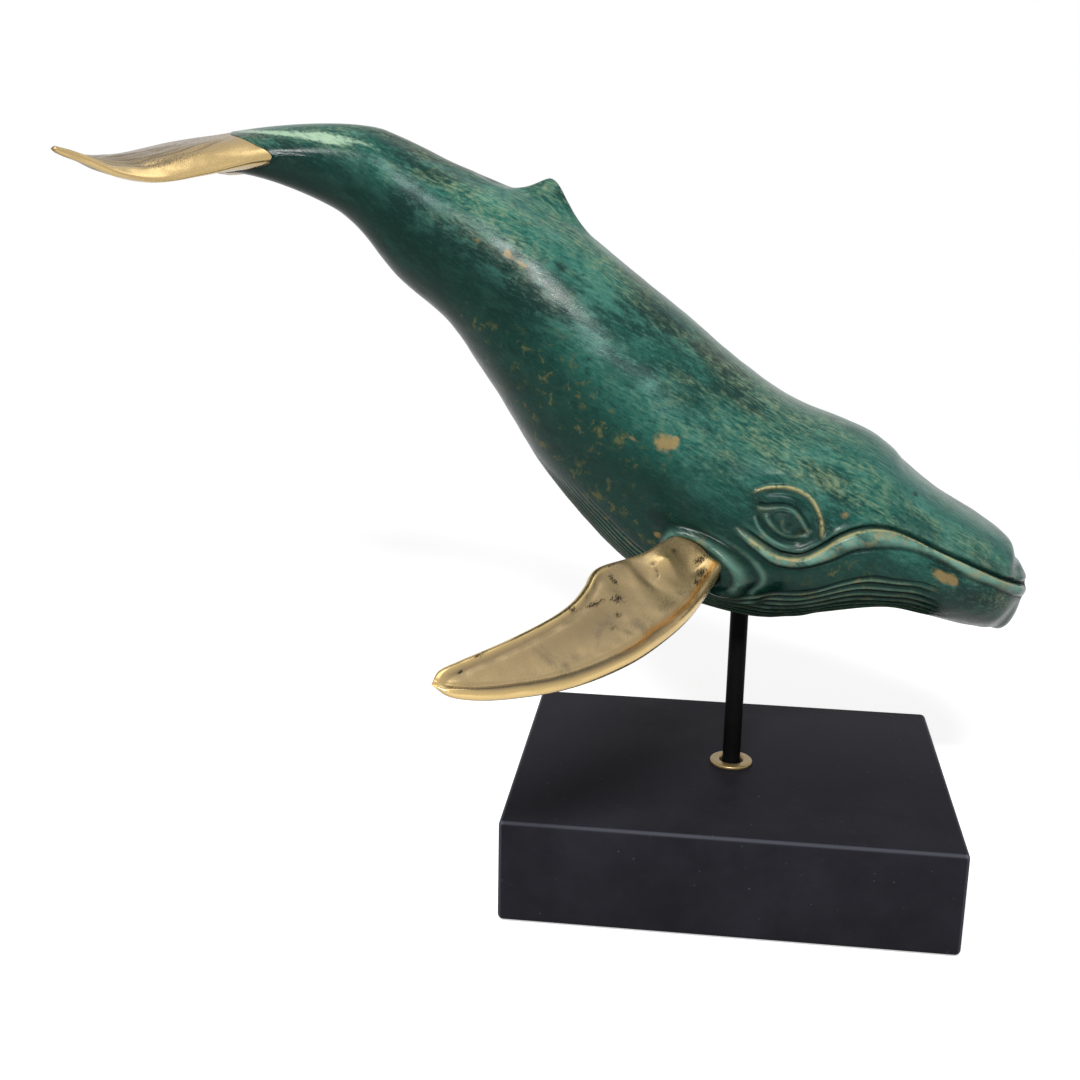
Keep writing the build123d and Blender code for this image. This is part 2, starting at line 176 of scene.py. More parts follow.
def smooth_at(knots: tuple, values: tuple, place: np.ndarray) -> np.ndarray:
    """Smooth value between the knots of a table.

    Args:
        knots: Places in rising order.
        values: The value at each knot.
        place: Where the value is wanted.

    Returns:
        The values there, held at the table's ends.
    """
    knots, values = np.asarray(knots, float), np.asarray(values, float)
    place = np.clip(place, knots[0], knots[-1])
    last = len(knots) - 1
    ahead, behind = np.minimum(np.arange(last + 1) + 1, last), np.maximum(np.arange(last + 1) - 1, 0)
    slopes = (values[ahead] - values[behind]) / (knots[ahead] - knots[behind])
    low = np.clip(np.searchsorted(knots, place, side="right") - 1, 0, last - 1)
    step = knots[low + 1] - knots[low]
    t = (place - knots[low]) / step
    rise = values[low] * (1 + 2 * t) * (1 - t) ** 2 + values[low + 1] * t * t * (3 - 2 * t)
    return rise + step * (slopes[low] * t * (1 - t) ** 2 - slopes[low + 1] * t * t * (1 - t))


def ripple(points: np.ndarray, waves: Waves) -> np.ndarray:
    """Gentle unevenness of a hand-worked surface.

    Args:
        points: Places in space.
        waves: Height, typical length from crest to crest, and seed of each set of waves.

    Returns:
        The rise at each place.
    """
    count = 14
    rise = np.zeros(points.shape[:-1])
    for height, wavelength, seed in waves:
        draw = np.random.default_rng(seed)
        swell = np.zeros(points.shape[:-1])
        for _ in range(count):
            way = draw.normal(size=3)
            way *= math.tau / (wavelength * draw.uniform(0.7, 1.4) * np.linalg.norm(way))
            swell += np.cos(points @ way + draw.uniform(0, math.tau))
        rise += height * (swell / math.sqrt(count))
    return rise


def spaced_rows(spans: Line) -> np.ndarray:
    """Places of a mesh's rows from spans of even spacing.

    Args:
        spans: Pairs of a span's start and its spacing; the last pair only ends the rows.

    Returns:
        The places in rising order.
    """
    places: list[float] = []
    for (start, spacing), (end, _) in zip(spans, spans[1:]):
        steps = max(round((end - start) / spacing), 1)
        places += list(np.linspace(start, end, steps, endpoint=False))
    return np.array(places + [spans[-1][0]])


def named(name: str) -> bpy.types.Object:
    """Names the primitive that was just added, and gives it back."""
    piece = bpy.context.object
    piece.name = piece.data.name = name
    return piece


def weld(threshold: float) -> None:
    """Joins the points of the active mesh that meet, and turns its faces outwards.

    Args:
        threshold: How near points are, in metres, when they count as one.
    """
    bpy.ops.object.mode_set(mode="EDIT")
    bpy.ops.mesh.select_all(action="SELECT")
    bpy.ops.mesh.remove_doubles(threshold=threshold)
    bpy.ops.mesh.normals_make_consistent(inside=False)
    bpy.ops.object.mode_set(mode="OBJECT")


def keep_masks(piece: bpy.types.Object, masks: dict[str, np.ndarray]) -> None:
    """Keeps values on a mesh's points, for its finish to read.

    Args:
        piece: The piece with the mesh.
        masks: One value a point, by name.
    """
    for key, values in masks.items():
        layer = piece.data.attributes.new(key, "FLOAT", "POINT")
        layer.data.foreach_set("value", values.astype(np.float32).ravel())


def grid_piece(name: str, rows: np.ndarray, masks: dict[str, np.ndarray]) -> bpy.types.Object:
    """Wraps a grid primitive into a closed, smooth shell.

    The last column lies on the first, and each end row is drawn in to one point.

    Args:
        name: Name of the piece.
        rows: Places in millimetres, row by row.
        masks: Values kept on the vertices for the finish to read.

    Returns:
        The finished mesh object.
    """
    count, across = rows.shape[:2]
    bpy.ops.object.select_all(action="DESELECT")
    bpy.ops.mesh.primitive_grid_add(x_subdivisions=across - 1, y_subdivisions=count - 1, size=1)
    piece = named(name)
    if len(piece.data.vertices) != count * across:
        raise RuntimeError(f"{name}: the grid isn't {count} by {across} points")
    piece.data.vertices.foreach_set("co", (rows * MM).astype(np.float32).ravel())
    keep_masks(piece, masks)
    piece.data.update()
    weld(5e-6)
    bpy.ops.object.shade_smooth()
    return piece


def turned_piece(name: str, profile: list[tuple[float, float]], steps: int = 96) -> bpy.types.Object:
    """Turns a closed profile about the rod's axis.

    Args:
        name: Name of the piece.
        profile: Radius and height of each corner of the profile.
        steps: How many steps the turn takes.

    Returns:
        The finished mesh object.
    """
    bpy.ops.object.select_all(action="DESELECT")
    bpy.ops.mesh.primitive_circle_add(vertices=len(profile), radius=1, fill_type="NOTHING")
    piece = named(name)
    for corner, (radius, height) in zip(piece.data.vertices, profile):
        corner.co = (radius * MM, 0, height * MM)
    bpy.ops.object.mode_set(mode="EDIT")
    bpy.ops.mesh.select_all(action="SELECT")
    bpy.ops.mesh.spin(steps=steps, angle=math.tau, center=(0, 0, 0), axis=(0, 0, 1))
    weld(1e-5)
    bpy.ops.object.shade_smooth_by_angle(angle=math.radians(35))
    return piece


def cut_round(piece: bpy.types.Object, radius: float, low: float, high: float) -> None:
    """Bores a round hole on the rod's axis.

    Args:
        piece: The piece that is bored.
        radius: Radius of the hole.
        low: Height of the hole's lower end.
        high: Height of its upper end.
    """
    bpy.ops.object.select_all(action="DESELECT")
    sides = 96
    bpy.ops.mesh.primitive_cylinder_add(
        vertices=sides, radius=radius * MM, depth=(high - low) * MM,
        location=(0, 0, (low + high) / 2 * MM), rotation=(0, 0, math.pi / sides),
    )
    drill = bpy.context.object
    cut = piece.modifiers.new("bore", "BOOLEAN")
    cut.operation, cut.object, cut.solver = "DIFFERENCE", drill, "EXACT"
    bpy.ops.object.select_all(action="DESELECT")
    piece.select_set(True)
    bpy.context.view_layer.objects.active = piece
    bpy.ops.object.modifier_apply(modifier=cut.name)
    bpy.data.objects.remove(drill)


def dress(piece: bpy.types.Object, material: bpy.types.Material) -> None:
    """Gives a piece its one material."""
    piece.data.materials.clear()
    piece.data.materials.append(material)


def seat(piece: bpy.types.Object, material: bpy.types.Material, body: str, part: str) -> None:
    """Finishes a new piece and lets it ride on its body in the place of its node.

    Args:
        piece: The new piece.
        material: Its finish.
        body: The body that it rides on.
        part: The node that it stands for.
    """
    dress(piece, material)
    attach(piece, body)
    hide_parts(part)
    log.info("%s: %d faces on %s", piece.name, len(piece.data.polygons), body)


# Finishes


class Shading:
    """The node tree of one material, with short ways to add what the finishes share."""

    def __init__(self, name: str) -> None:
        """Starts a material with its shader and the coordinates of its patterns."""
        self.material = bpy.data.materials.new(name)
        self.material.use_nodes = True
        self.tree = self.material.node_tree
        self.shader = self.tree.nodes["Principled BSDF"]
        self.place = node(self.tree, "TexCoord").outputs["Object"]

    def mapped(self, along: object, scale: tuple = (1, 1, 1), turn: tuple = (0, 0, 0)) -> bpy.types.Node:
        """Coordinates that are turned by degrees and scaled on each axis."""
        radians = tuple(math.radians(angle) for angle in turn)
        return node(self.tree, "Mapping", {"Vector": along, "Rotation": radians, "Scale": scale})

    def noise(
        self, size: float, detail: float, rough: float, along: object, warp: float = 0.0
    ) -> bpy.types.Node:
        """Noise with grains of a size in millimetres.

        Args:
            size: Size of the grains.
            detail: How many finer layers it has.
            rough: How strong the finer layers are.
            along: The coordinates that it follows.
            warp: How far it is bent out of shape.

        Returns:
            The noise node.
        """
        inputs = {"Scale": 1 / (size * MM), "Detail": detail, "Roughness": rough, "Distortion": warp}
        return node(self.tree, "TexNoise", {"Vector": along, **inputs})

    def mixed(self, share: object, first: object, second: str) -> bpy.types.NodeSocket:
        """Colour on the way from a first one to a second, by a share."""
        first = linear(first) if isinstance(first, str) else first
        return node(self.tree, "Mix", {0: share, 6: first, 7: linear(second)}, data_type="RGBA").outputs[2]

    def coated(self, colour: object, coats: tuple[tuple[object, str], ...]) -> bpy.types.NodeSocket:
        """Lays coats over a colour, each with its share and its own colour."""
        for share, coat in coats:
            colour = self.mixed(share, colour, coat)
        return colour

    def figured(self, operation: str, first: object, second: object) -> bpy.types.Node:
        """Number worked out from two others and kept between zero and one."""
        return node(self.tree, "Math", {0: first, 1: second}, operation=operation, use_clamp=True)

    def times(self, first: object, second: object) -> bpy.types.Node:
        """One share of another."""
        return self.figured("MULTIPLY", first, second)

    def cut(self, value: object, low: float, high: float, top: float = 1.0) -> bpy.types.Node:
        """Share, up to a top, of the way from a low value to a high one."""
        inputs = {0: value, 1: low, 2: high, 4: top}
        return node(self.tree, "MapRange", inputs, interpolation_type="SMOOTHSTEP")

    def spread(self, value: object, span: tuple[float, float], onto: tuple[float, float]) -> bpy.types.Node:
        """Value carried evenly from one span onto another."""
        return node(self.tree, "MapRange", {0: value, 1: span[0], 2: span[1], 3: onto[0], 4: onto[1]})

    def masks(self, *keys: str) -> list[bpy.types.NodeSocket]:
        """Masks that are kept on the mesh's points."""
        return [node(self.tree, "Attribute", attribute_name=key).outputs["Fac"] for key in keys]

    def bumps(self, *layers: tuple[object, float, float]) -> bpy.types.Node:
        """Lays bumps over each other.

        Args:
            *layers: Pattern, strength and height in millimetres; a height below zero sinks in.

        Returns:
            The last bump.
        """
        top = None
        for pattern, strength, height in layers:
            below = {"Normal": top} if top else {}
            inputs = {"Height": pattern, **below, "Strength": strength, "Distance": abs(height) * MM}
            top = node(self.tree, "Bump", inputs, invert=height < 0)
        return top

    def finished(self, inputs: dict) -> bpy.types.Material:
        """Joins the patterns to the shader and gives the material."""
        join(self.tree, self.shader, inputs)
        return self.material


@dataclass(frozen=True)
class PatinaFinish:
    """Green acid patina brushed on hot brass and waxed; it wears to ochre on what stands out.

    The eye gets a deep, slightly cloudy teal with fine brush streaks along the whale, a mossy
    back, a nearly black underside that is painted shade, pale streaks on the tail's top that are
    a painted highlight, and a waxed sheen that the streaks break up.
    """

    dive_angle: float
    cloud: float = 42.0
    cloud_stretch: float = 2.4
    mottle: float = 8.0
    brush_width: float = 1.1
    brush_length: float = 4.2
    dent: float = 4.5
    stipple: float = 0.8
    green: str = "#1f564c"
    deep: str = "#0b2723"
    painted_shade: str = "#03211a"
    light: str = "#42776a"
    moss: str = "#708062"
    olive: str = "#55532f"
    ochre: str = "#94794a"
    pale: str = "#a5bfa4"
    turquoise: str = "#6f9788"
    gilt: str = "#a39a6c"
    dark_patch: str = "#041b17"
    wax: str = "#020c0a"

    def build(self) -> bpy.types.Material:
        """Builds the waxed patina.

        Returns:
            The material.
        """
        art = Shading("waxed_green_patina_on_cast_brass")
        cut, times = art.cut, art.times
        level = art.mapped(art.place, turn=(0, -self.dive_angle, 0))
        slightly = art.mapped(level, (1 / self.cloud_stretch, 1, 1))
        strongly = art.mapped(level, (1 / (self.brush_length / self.brush_width), 1, 1))
        clouds = art.noise(self.cloud, 4.0, 0.55, slightly, 0.2)
        mottling = art.noise(self.mottle, 7.0, 0.62, slightly, 0.3)
        swept = art.noise(self.cloud * 0.4, 4.0, 0.6, strongly)
        brushed = art.noise(self.brush_width, 4.0, 0.62, strongly, 0.3)
        rubs = art.noise(self.mottle * 0.6, 6.0, 0.7, level, 0.4)
        grain = art.noise(self.stipple, 4.0, 0.7, level)
        lumps = art.noise(self.dent, 3.0, 0.5, slightly)
        under, ridge, groove, gilt, wear, pale, dark_patch = art.masks(
            "under", "ridge", "groove", "gilt", "wear", "pale", "dark_patch"
        )
        dragged = art.figured("ADD", cut(brushed, 0.42, 0.64, 0.45), cut(rubs, 0.48, 0.66, 0.4))
        mossy = times(times(cut(under, 0.50, 0.16), cut(swept, 0.36, 0.62)), dragged)
        earthy = times(times(cut(under, 0.30, 0.62), cut(rubs, 0.54, 0.66, 0.8)), cut(clouds, 0.46, 0.56))
        colour = art.coated(self.deep, (
            # Clouds of deep and clear green, then the fine brush marks over them
            (cut(clouds, 0.38, 0.60), self.green),
            (cut(mottling, 0.48, 0.68, 0.55), self.light),
            (cut(brushed, 0.52, 0.70, 0.4), self.light),
            (cut(grain, 0.54, 0.72, 0.35), self.light),
            (cut(brushed, 0.47, 0.33, 0.5), self.deep),
            (cut(rubs, 0.46, 0.32, 0.6), self.deep),
            # Moss and straw where the brush dragged along the back
            (mossy, self.moss),
            # Painted shade: the flank turns nearly black towards the bottom, with brown where the patina is
            # thin
            (cut(under, 0.28, 0.60, 0.85), self.painted_shade),
            (earthy, self.olive),
            # Pale places, which on the tail's top are a painted highlight, and dark places, ragged at their
            # edges
            (cut(times(pale, brushed), 0.12, 0.46, 0.65), self.pale),
            (cut(times(dark_patch, rubs), 0.14, 0.44, 0.9), self.dark_patch),
            (cut(grain, 0.42, 0.28, 0.45), self.dark_patch),
            # Ridges rub to turquoise and ochre, and the ridge mark also paints a highlight on the lids and
            # the eye. Grooves hold dark wax
            (times(ridge, cut(mottling, 0.26, 0.56, 0.85)), self.turquoise),
            (times(ridge, cut(rubs, 0.50, 0.64, 0.55)), self.ochre),
            (cut(times(wear, rubs), 0.20, 0.44, 0.62), self.ochre),
            (times(groove, 0.92), self.wax),
            (times(gilt, cut(rubs, 0.34, 0.50, 0.9)), self.gilt),
        ))
        gloss = art.spread(brushed, (0.3, 0.7), (0.18, 0.34))
        return art.finished({
            "Base Color": colour,
            "Normal": art.bumps((lumps, 0.16, 0.5), (brushed, 0.4, 0.15), (grain, 0.3, 0.1)),
            "Roughness": art.figured("MAXIMUM", gloss, times(groove, 0.7)),
            "IOR": 1.44,
            "Specular IOR Level": 0.15,
        })


@dataclass(frozen=True)
class BrassFinish:
    """Sand-cast yellow brass, filed and buffed, with casting pits and some tarnish.

    The eye gets a pale, satin gold that clouds over where it has tarnished, black pinholes in
    clusters, and an amber streak where heat has tinted it. Lighter polish on rims and darker film
    in hollows are partly painted highlight and painted dark reflection, and a painted shade line
    darkens the flipper's leading edge. Turned brass and zinc-plated steel are made the same way
    with colours of their own, and read as plainer, harder metal.
    """

    name: str
    metal: str = "#95815c"
    warm: str = "#9c7c56"
    tarnish: str = "#6c5e49"
    polished: str = "#ccb078"
    film_and_dark_reflection: str = "#6c5c45"
    amber: str = "#8f6324"
    pit: str = "#1a130c"
    roughness: float = 0.27
    bare: float = 0.62
    cloud: float = 20.0
    buffing: float = 0.7
    buffing_angle: float = -35.0
    buffing_squeeze: float = 0.07
    pit_size: float = 0.65
    pit_squeeze: float = 7.0

    def build(self) -> bpy.types.Material:
        """Builds the buffed metal.

        Returns:
            The material.
        """
        art = Shading(self.name)
        drawn_out = art.mapped(art.place, (1, self.buffing_squeeze, 1), (0, 0, self.buffing_angle))
        clouds = art.noise(self.cloud, 5.0, 0.6, art.place, 0.6)
        buffed = art.noise(self.buffing, 4.0, 0.6, drawn_out)
        flaws = art.noise(self.pit_size, 1.0, 0.4, art.mapped(drawn_out, (1, self.pit_squeeze, 1)))
        pitted, crease_and_shade, amber, polish, film_and_dark_reflection = art.masks("pits", "groove", "amber", "polish", "film_and_dark_reflection")
        holes = art.cut(art.figured("ADD", flaws, pitted), 0.95, 0.99)
        # Creases, and on the flippers a painted shade line, darken the metal like the pits
        dark = art.figured("MAXIMUM", holes, art.times(crease_and_shade, 0.75))
        tinted = node(art.tree, "ValToRGB", {0: clouds})
        elements = tinted.color_ramp.elements
        stops = ((0.30, self.tarnish), (0.46, self.metal), (0.62, self.metal), (0.80, self.warm))
        for _ in stops[len(elements):]:
            elements.new(0.5)
        for element, (place, colour) in zip(elements, stops):
            element.position, element.color = place, linear(colour)
        coats = ((film_and_dark_reflection, self.film_and_dark_reflection), (polish, self.polished), (amber, self.amber), (dark, self.pit))
        gloss = art.spread(buffed, (0.3, 0.7), (self.roughness * 0.8, self.roughness * 1.5))
        gloss = art.times(gloss, art.spread(polish, (0, 1), (1.0, 0.7)))
        return art.finished({
            "Base Color": art.coated(tinted.outputs["Color"], coats),
            "Roughness": art.figured("MAXIMUM", gloss, dark),
            "Normal": art.bumps((buffed, 0.06, 0.1), (clouds, 0.08, 1.0), (holes, 0.6, -0.3)),
            # Metallic follows the polish mask, which also carries painted highlights; a brown film of oxide
            # and wax scatters the light where the metal isn't quite bare
            "Metallic": art.spread(polish, (0, 1), (self.bare, 1.0)),
        })


@dataclass(frozen=True)
class BlackFinish:
    """Black satin paint on wood or steel, or black dyed felt.

    The eye gets a dark, soft surface with a faint haze, a few specks of dust, a painted highlight
    along the edges where a mask gives it, and the grain or the fibres that show from below.
    """

    name: str
    colour: str
    dust_and_edge_highlight: str
    roughness: float
    grain_length: float = 1.0
    grain_width: float = 1.5
    grain_strength: float = 0.1
    haze: float = 40.0
    dust: float = 1.6
    shine: float = 0.02

    def build(self) -> bpy.types.Material:
        """Builds the black finish.

        Returns:
            The material.
        """
        art = Shading(self.name)
        along = art.mapped(art.place, (self.grain_width / self.grain_length, 1, 1))
        grain = art.noise(self.grain_width, 4.0, 0.6, along)
        haze = art.noise(self.haze, 6.0, 0.7, art.place)
        specks = art.noise(self.dust, 1.0, 0.5, art.place)
        dusted = art.spread(specks, (0.76, 0.82), (0.0, 0.45))
        clouded = art.spread(haze, (0.35, 0.75), (0.0, 0.10))
        # Painted highlight along the edges, where the mesh carries the mask, mixed in with the dust
        (highlighted_edges,) = art.masks("rub")
        share = art.figured("MAXIMUM", art.figured("ADD", dusted, clouded), highlighted_edges)
        return art.finished({
            "Base Color": art.mixed(share, self.colour, self.dust_and_edge_highlight),
            "Roughness": art.spread(haze, (0.3, 0.7), (self.roughness * 0.85, self.roughness * 1.2)),
            "Normal": art.bumps((grain, self.grain_strength, 0.15)),
            "IOR": 1.45,
            "Specular IOR Level": self.shine,
        })


# The whale


@dataclass(frozen=True)
class Stroke:
    """A line that the carver cut into the wax or raised on it.

    Its points are a distance from the snout along the whale and a height above its chord.
    """

    points: Line
    rise: float = 0.0
    width: float = 1.0
    mark: Mark | None = None
    start_fade: float = 0.15
    end_fade: float = 0.15

    def measure(self, along: np.ndarray, height: np.ndarray) -> tuple[np.ndarray, np.ndarray]:
        """Measures places on the flank against the line.

        Args:
            along: Distances from the snout.
            height: Heights above the chord.

        Returns:
            The distance to the line, and how far along the line its nearest place is.
        """
        knots = np.linspace(0, 1, len(self.points))
        fine = np.linspace(0, 1, 12 * len(self.points))
        line_a, line_v = (smooth_at(knots, values, fine) for values in zip(*self.points))
        best = np.full(along.shape, np.inf)
        share = np.zeros(along.shape)
        for i in range(len(fine) - 1):
            step_a, step_v = line_a[i + 1] - line_a[i], line_v[i + 1] - line_v[i]
            far_a, far_v = along - line_a[i], height - line_v[i]
            t = np.clip((far_a * step_a + far_v * step_v) / (step_a * step_a + step_v * step_v), 0, 1)
            gap = np.hypot(far_a - t * step_a, far_v - t * step_v)
            nearer = gap < best
            best = np.where(nearer, gap, best)
            share = np.where(nearer, fine[i] + t * (fine[i + 1] - fine[i]), share)
        return best, share

    def carve(self, along: np.ndarray, height: np.ndarray) -> np.ndarray:
        """Share of the line's rise at each place on the flank."""
        gap, share = self.measure(along, height)
        fade = smooth_step(share / self.start_fade) * smooth_step((1 - share) / self.end_fade)
        return bell(gap, self.width) * fade


MOUTH_LINE = (
    (-7.0, 2.2), (5.9, 3.2), (20.2, 3.0), (32.8, 2.5), (44.9, 1.7), (56.9, 1.2), (68.2, -0.4),
    (77.5, -4.8), (84.7, -12.6), (88.8, -20.9), (93.6, -27.6), (100.6, -30.7), (106.5, -31.1),
    (115.3, -30.3), (123.8, -29.3),
)
LIP_LOWER_EDGE = (
    (-7.0, -3.6), (2.5, -2.2), (17.5, -1.6), (29.6, -2.7), (39.3, -2.3), (48.7, -2.6), (59.2, -4.9),
    (68.5, -9.7), (76.6, -15.9), (79.8, -20.7), (84.9, -26.9), (90.6, -32.3), (96.5, -35.3), (103.3, -36.2),
    (109.8, -35.2), (119.8, -33.8), (127.6, -31.7),
)
LID_TOP = (
    (95.8, -18.1), (98.1, -17.2), (100.1, -16.3), (103.3, -15.1), (106.9, -14.7), (109.9, -15.8),
    (111.5, -17.0), (112.8, -18.7), (113.9, -20.6),
)
LID_BOTTOM = (
    (95.8, -18.1), (98.4, -20.7), (100.8, -22.9), (104.0, -23.8), (107.9, -23.6), (111.2, -22.7),
    (113.9, -21.4),
)
EYE_STROKES = (
    Stroke((
        (124.3, -16.0), (120.1, -11.3), (114.8, -7.8), (111.8, -6.6), (107.7, -5.7), (103.5, -5.7),
        (100.0, -6.8), (96.0, -9.5), (92.7, -13.0), (89.3, -18.6),
    ), 1.15, 0.6, Mark.GILT, 0.06, 0.1),
    Stroke((
        (125.2, -14.7), (120.8, -9.8), (115.2, -6.2), (111.8, -4.9), (107.6, -4.0), (103.1, -4.0),
        (99.2, -5.2), (94.8, -8.2), (91.3, -11.8), (88.0, -17.6),
    ), -0.7, 0.7),
    Stroke((
        (122.0, -16.3), (118.8, -12.9), (114.3, -10.0), (110.8, -8.6), (107.0, -7.9), (103.4, -8.0),
        (100.6, -9.0), (97.2, -11.2), (94.2, -14.2), (91.6, -18.0),
    ), -0.8, 0.9, None, 0.2, 0.2),
    Stroke((
        (120.6, -18.6), (116.6, -17.0), (113.0, -14.6), (109.5, -12.7), (106.0, -12.0), (102.3, -12.8),
        (97.8, -15.4), (94.6, -17.9),
    ), -1.3, 0.65, Mark.GROOVE, 0.08, 0.1),
    Stroke((
        (119.0, -20.0), (116.0, -18.6), (113.0, -16.5), (109.7, -14.3), (106.4, -13.6), (103.0, -14.2),
        (99.0, -16.2), (94.6, -18.9),
    ), 0.95, 0.7, Mark.RIDGE, 0.05, 0.05),
    Stroke((
        (114.6, -20.2), (112.4, -22.2), (108.0, -23.7), (104.0, -23.9), (100.6, -22.8), (98.0, -20.9),
        (94.6, -18.9),
    ), 0.95, 0.75, Mark.RIDGE, 0.04, 0.05),
    Stroke((
        (117.6, -22.2), (113.6, -24.4), (109.0, -25.8), (103.8, -26.1), (99.2, -24.6), (96.4, -22.2),
    ), -0.8, 0.7, Mark.GROOVE, 0.05, 0.2),
    Stroke((
        (118.6, -23.0), (114.6, -26.2), (109.6, -27.9), (104.2, -28.2), (99.4, -27.0), (95.6, -24.2),
    ), 0.3, 0.5, Mark.RIDGE, 0.05, 0.4),
)
# Patches of worn patina, pale patches with a painted highlight along the tail's top, and dark
# patches: distance from the snout, height above the chord, half length, half height and strength
PATCHES = {
    "wear": {
        Side.RIGHT: (
            (165.4, -17.2, 4.6, 4.6, 1.0), (161.0, -14.2, 2.6, 2.6, 1.0), (258.0, 15.0, 2.8, 2.4, 1.0),
            (251.0, 14.2, 5.0, 1.1, 0.8), (40.5, -6.7, 6.0, 3.0, 0.9), (34.5, -6.2, 3.5, 2.6, 0.9),
            (87.3, -4.6, 3.0, 2.2, 0.8), (244.0, 19.5, 3.0, 2.0, 0.7), (176.0, -22.0, 3.0, 1.5, 0.8),
            (284.0, 14.0, 4.0, 1.5, 0.6), (147.0, -51.5, 2.6, 1.6, 1.0), (104.0, -3.4, 3.0, 0.8, 0.7),
            (120.0, 12.0, 6.0, 1.4, 0.6), (96.0, 11.0, 5.0, 1.6, 0.5), (272.0, 12.5, 3.5, 2.0, 0.6),
        ),
        Side.LEFT: (
            (62.0, 8.0, 6.0, 2.2, 0.8), (140.0, -12.0, 6.0, 3.4, 0.9), (212.0, 6.0, 5.0, 2.4, 0.9),
            (238.0, -14.0, 3.5, 2.2, 0.8), (46.0, -9.0, 6.0, 2.6, 0.9), (300.0, 12.0, 5.0, 2.0, 0.7),
            (178.0, 9.0, 4.0, 1.6, 0.8), (118.0, 4.0, 4.0, 2.0, 0.6),
        ),
    },
    # Pale patches; the streaks along the tail's top on both sides are a painted highlight
    "pale": {
        Side.RIGHT: (
            (350.0, 18.5, 11.0, 2.2, 1.0), (340.0, 20.0, 5.0, 2.6, 0.8), (330.0, 22.0, 12.0, 1.4, 0.5),
            (128.0, -3.0, 6.0, 4.0, 0.35), (256.0, 22.0, 8.0, 3.0, 0.35), (20.0, 8.0, 9.0, 2.0, 0.3),
        ),
        Side.LEFT: (
            (318.0, 28.0, 14.0, 2.6, 0.8), (140.0, 2.0, 9.0, 4.0, 0.35), (250.0, 20.0, 9.0, 3.0, 0.35),
        ),
    },
    # Dark patches, among them one at each flipper's root
    "dark_patch": {
        Side.RIGHT: (
            (236.6, 20.5, 4.2, 3.4, 0.75), (151.0, -45.0, 6.5, 5.0, 0.9), (64.0, 14.5, 2.0, 1.2, 0.8),
            (206.0, -9.0, 2.5, 1.8, 0.7), (262.5, 42.0, 7.0, 6.0, 0.6), (128.0, -22.0, 7.0, 6.0, 0.5),
            (86.0, -9.0, 6.0, 4.0, 0.35), (22.0, -6.0, 12.0, 5.0, 0.2),
        ),
        Side.LEFT: (
            (230.0, 14.0, 4.0, 3.0, 0.7), (150.0, -45.0, 6.5, 5.0, 0.8), (90.0, 13.0, 2.0, 1.5, 0.8),
        ),
    },
}


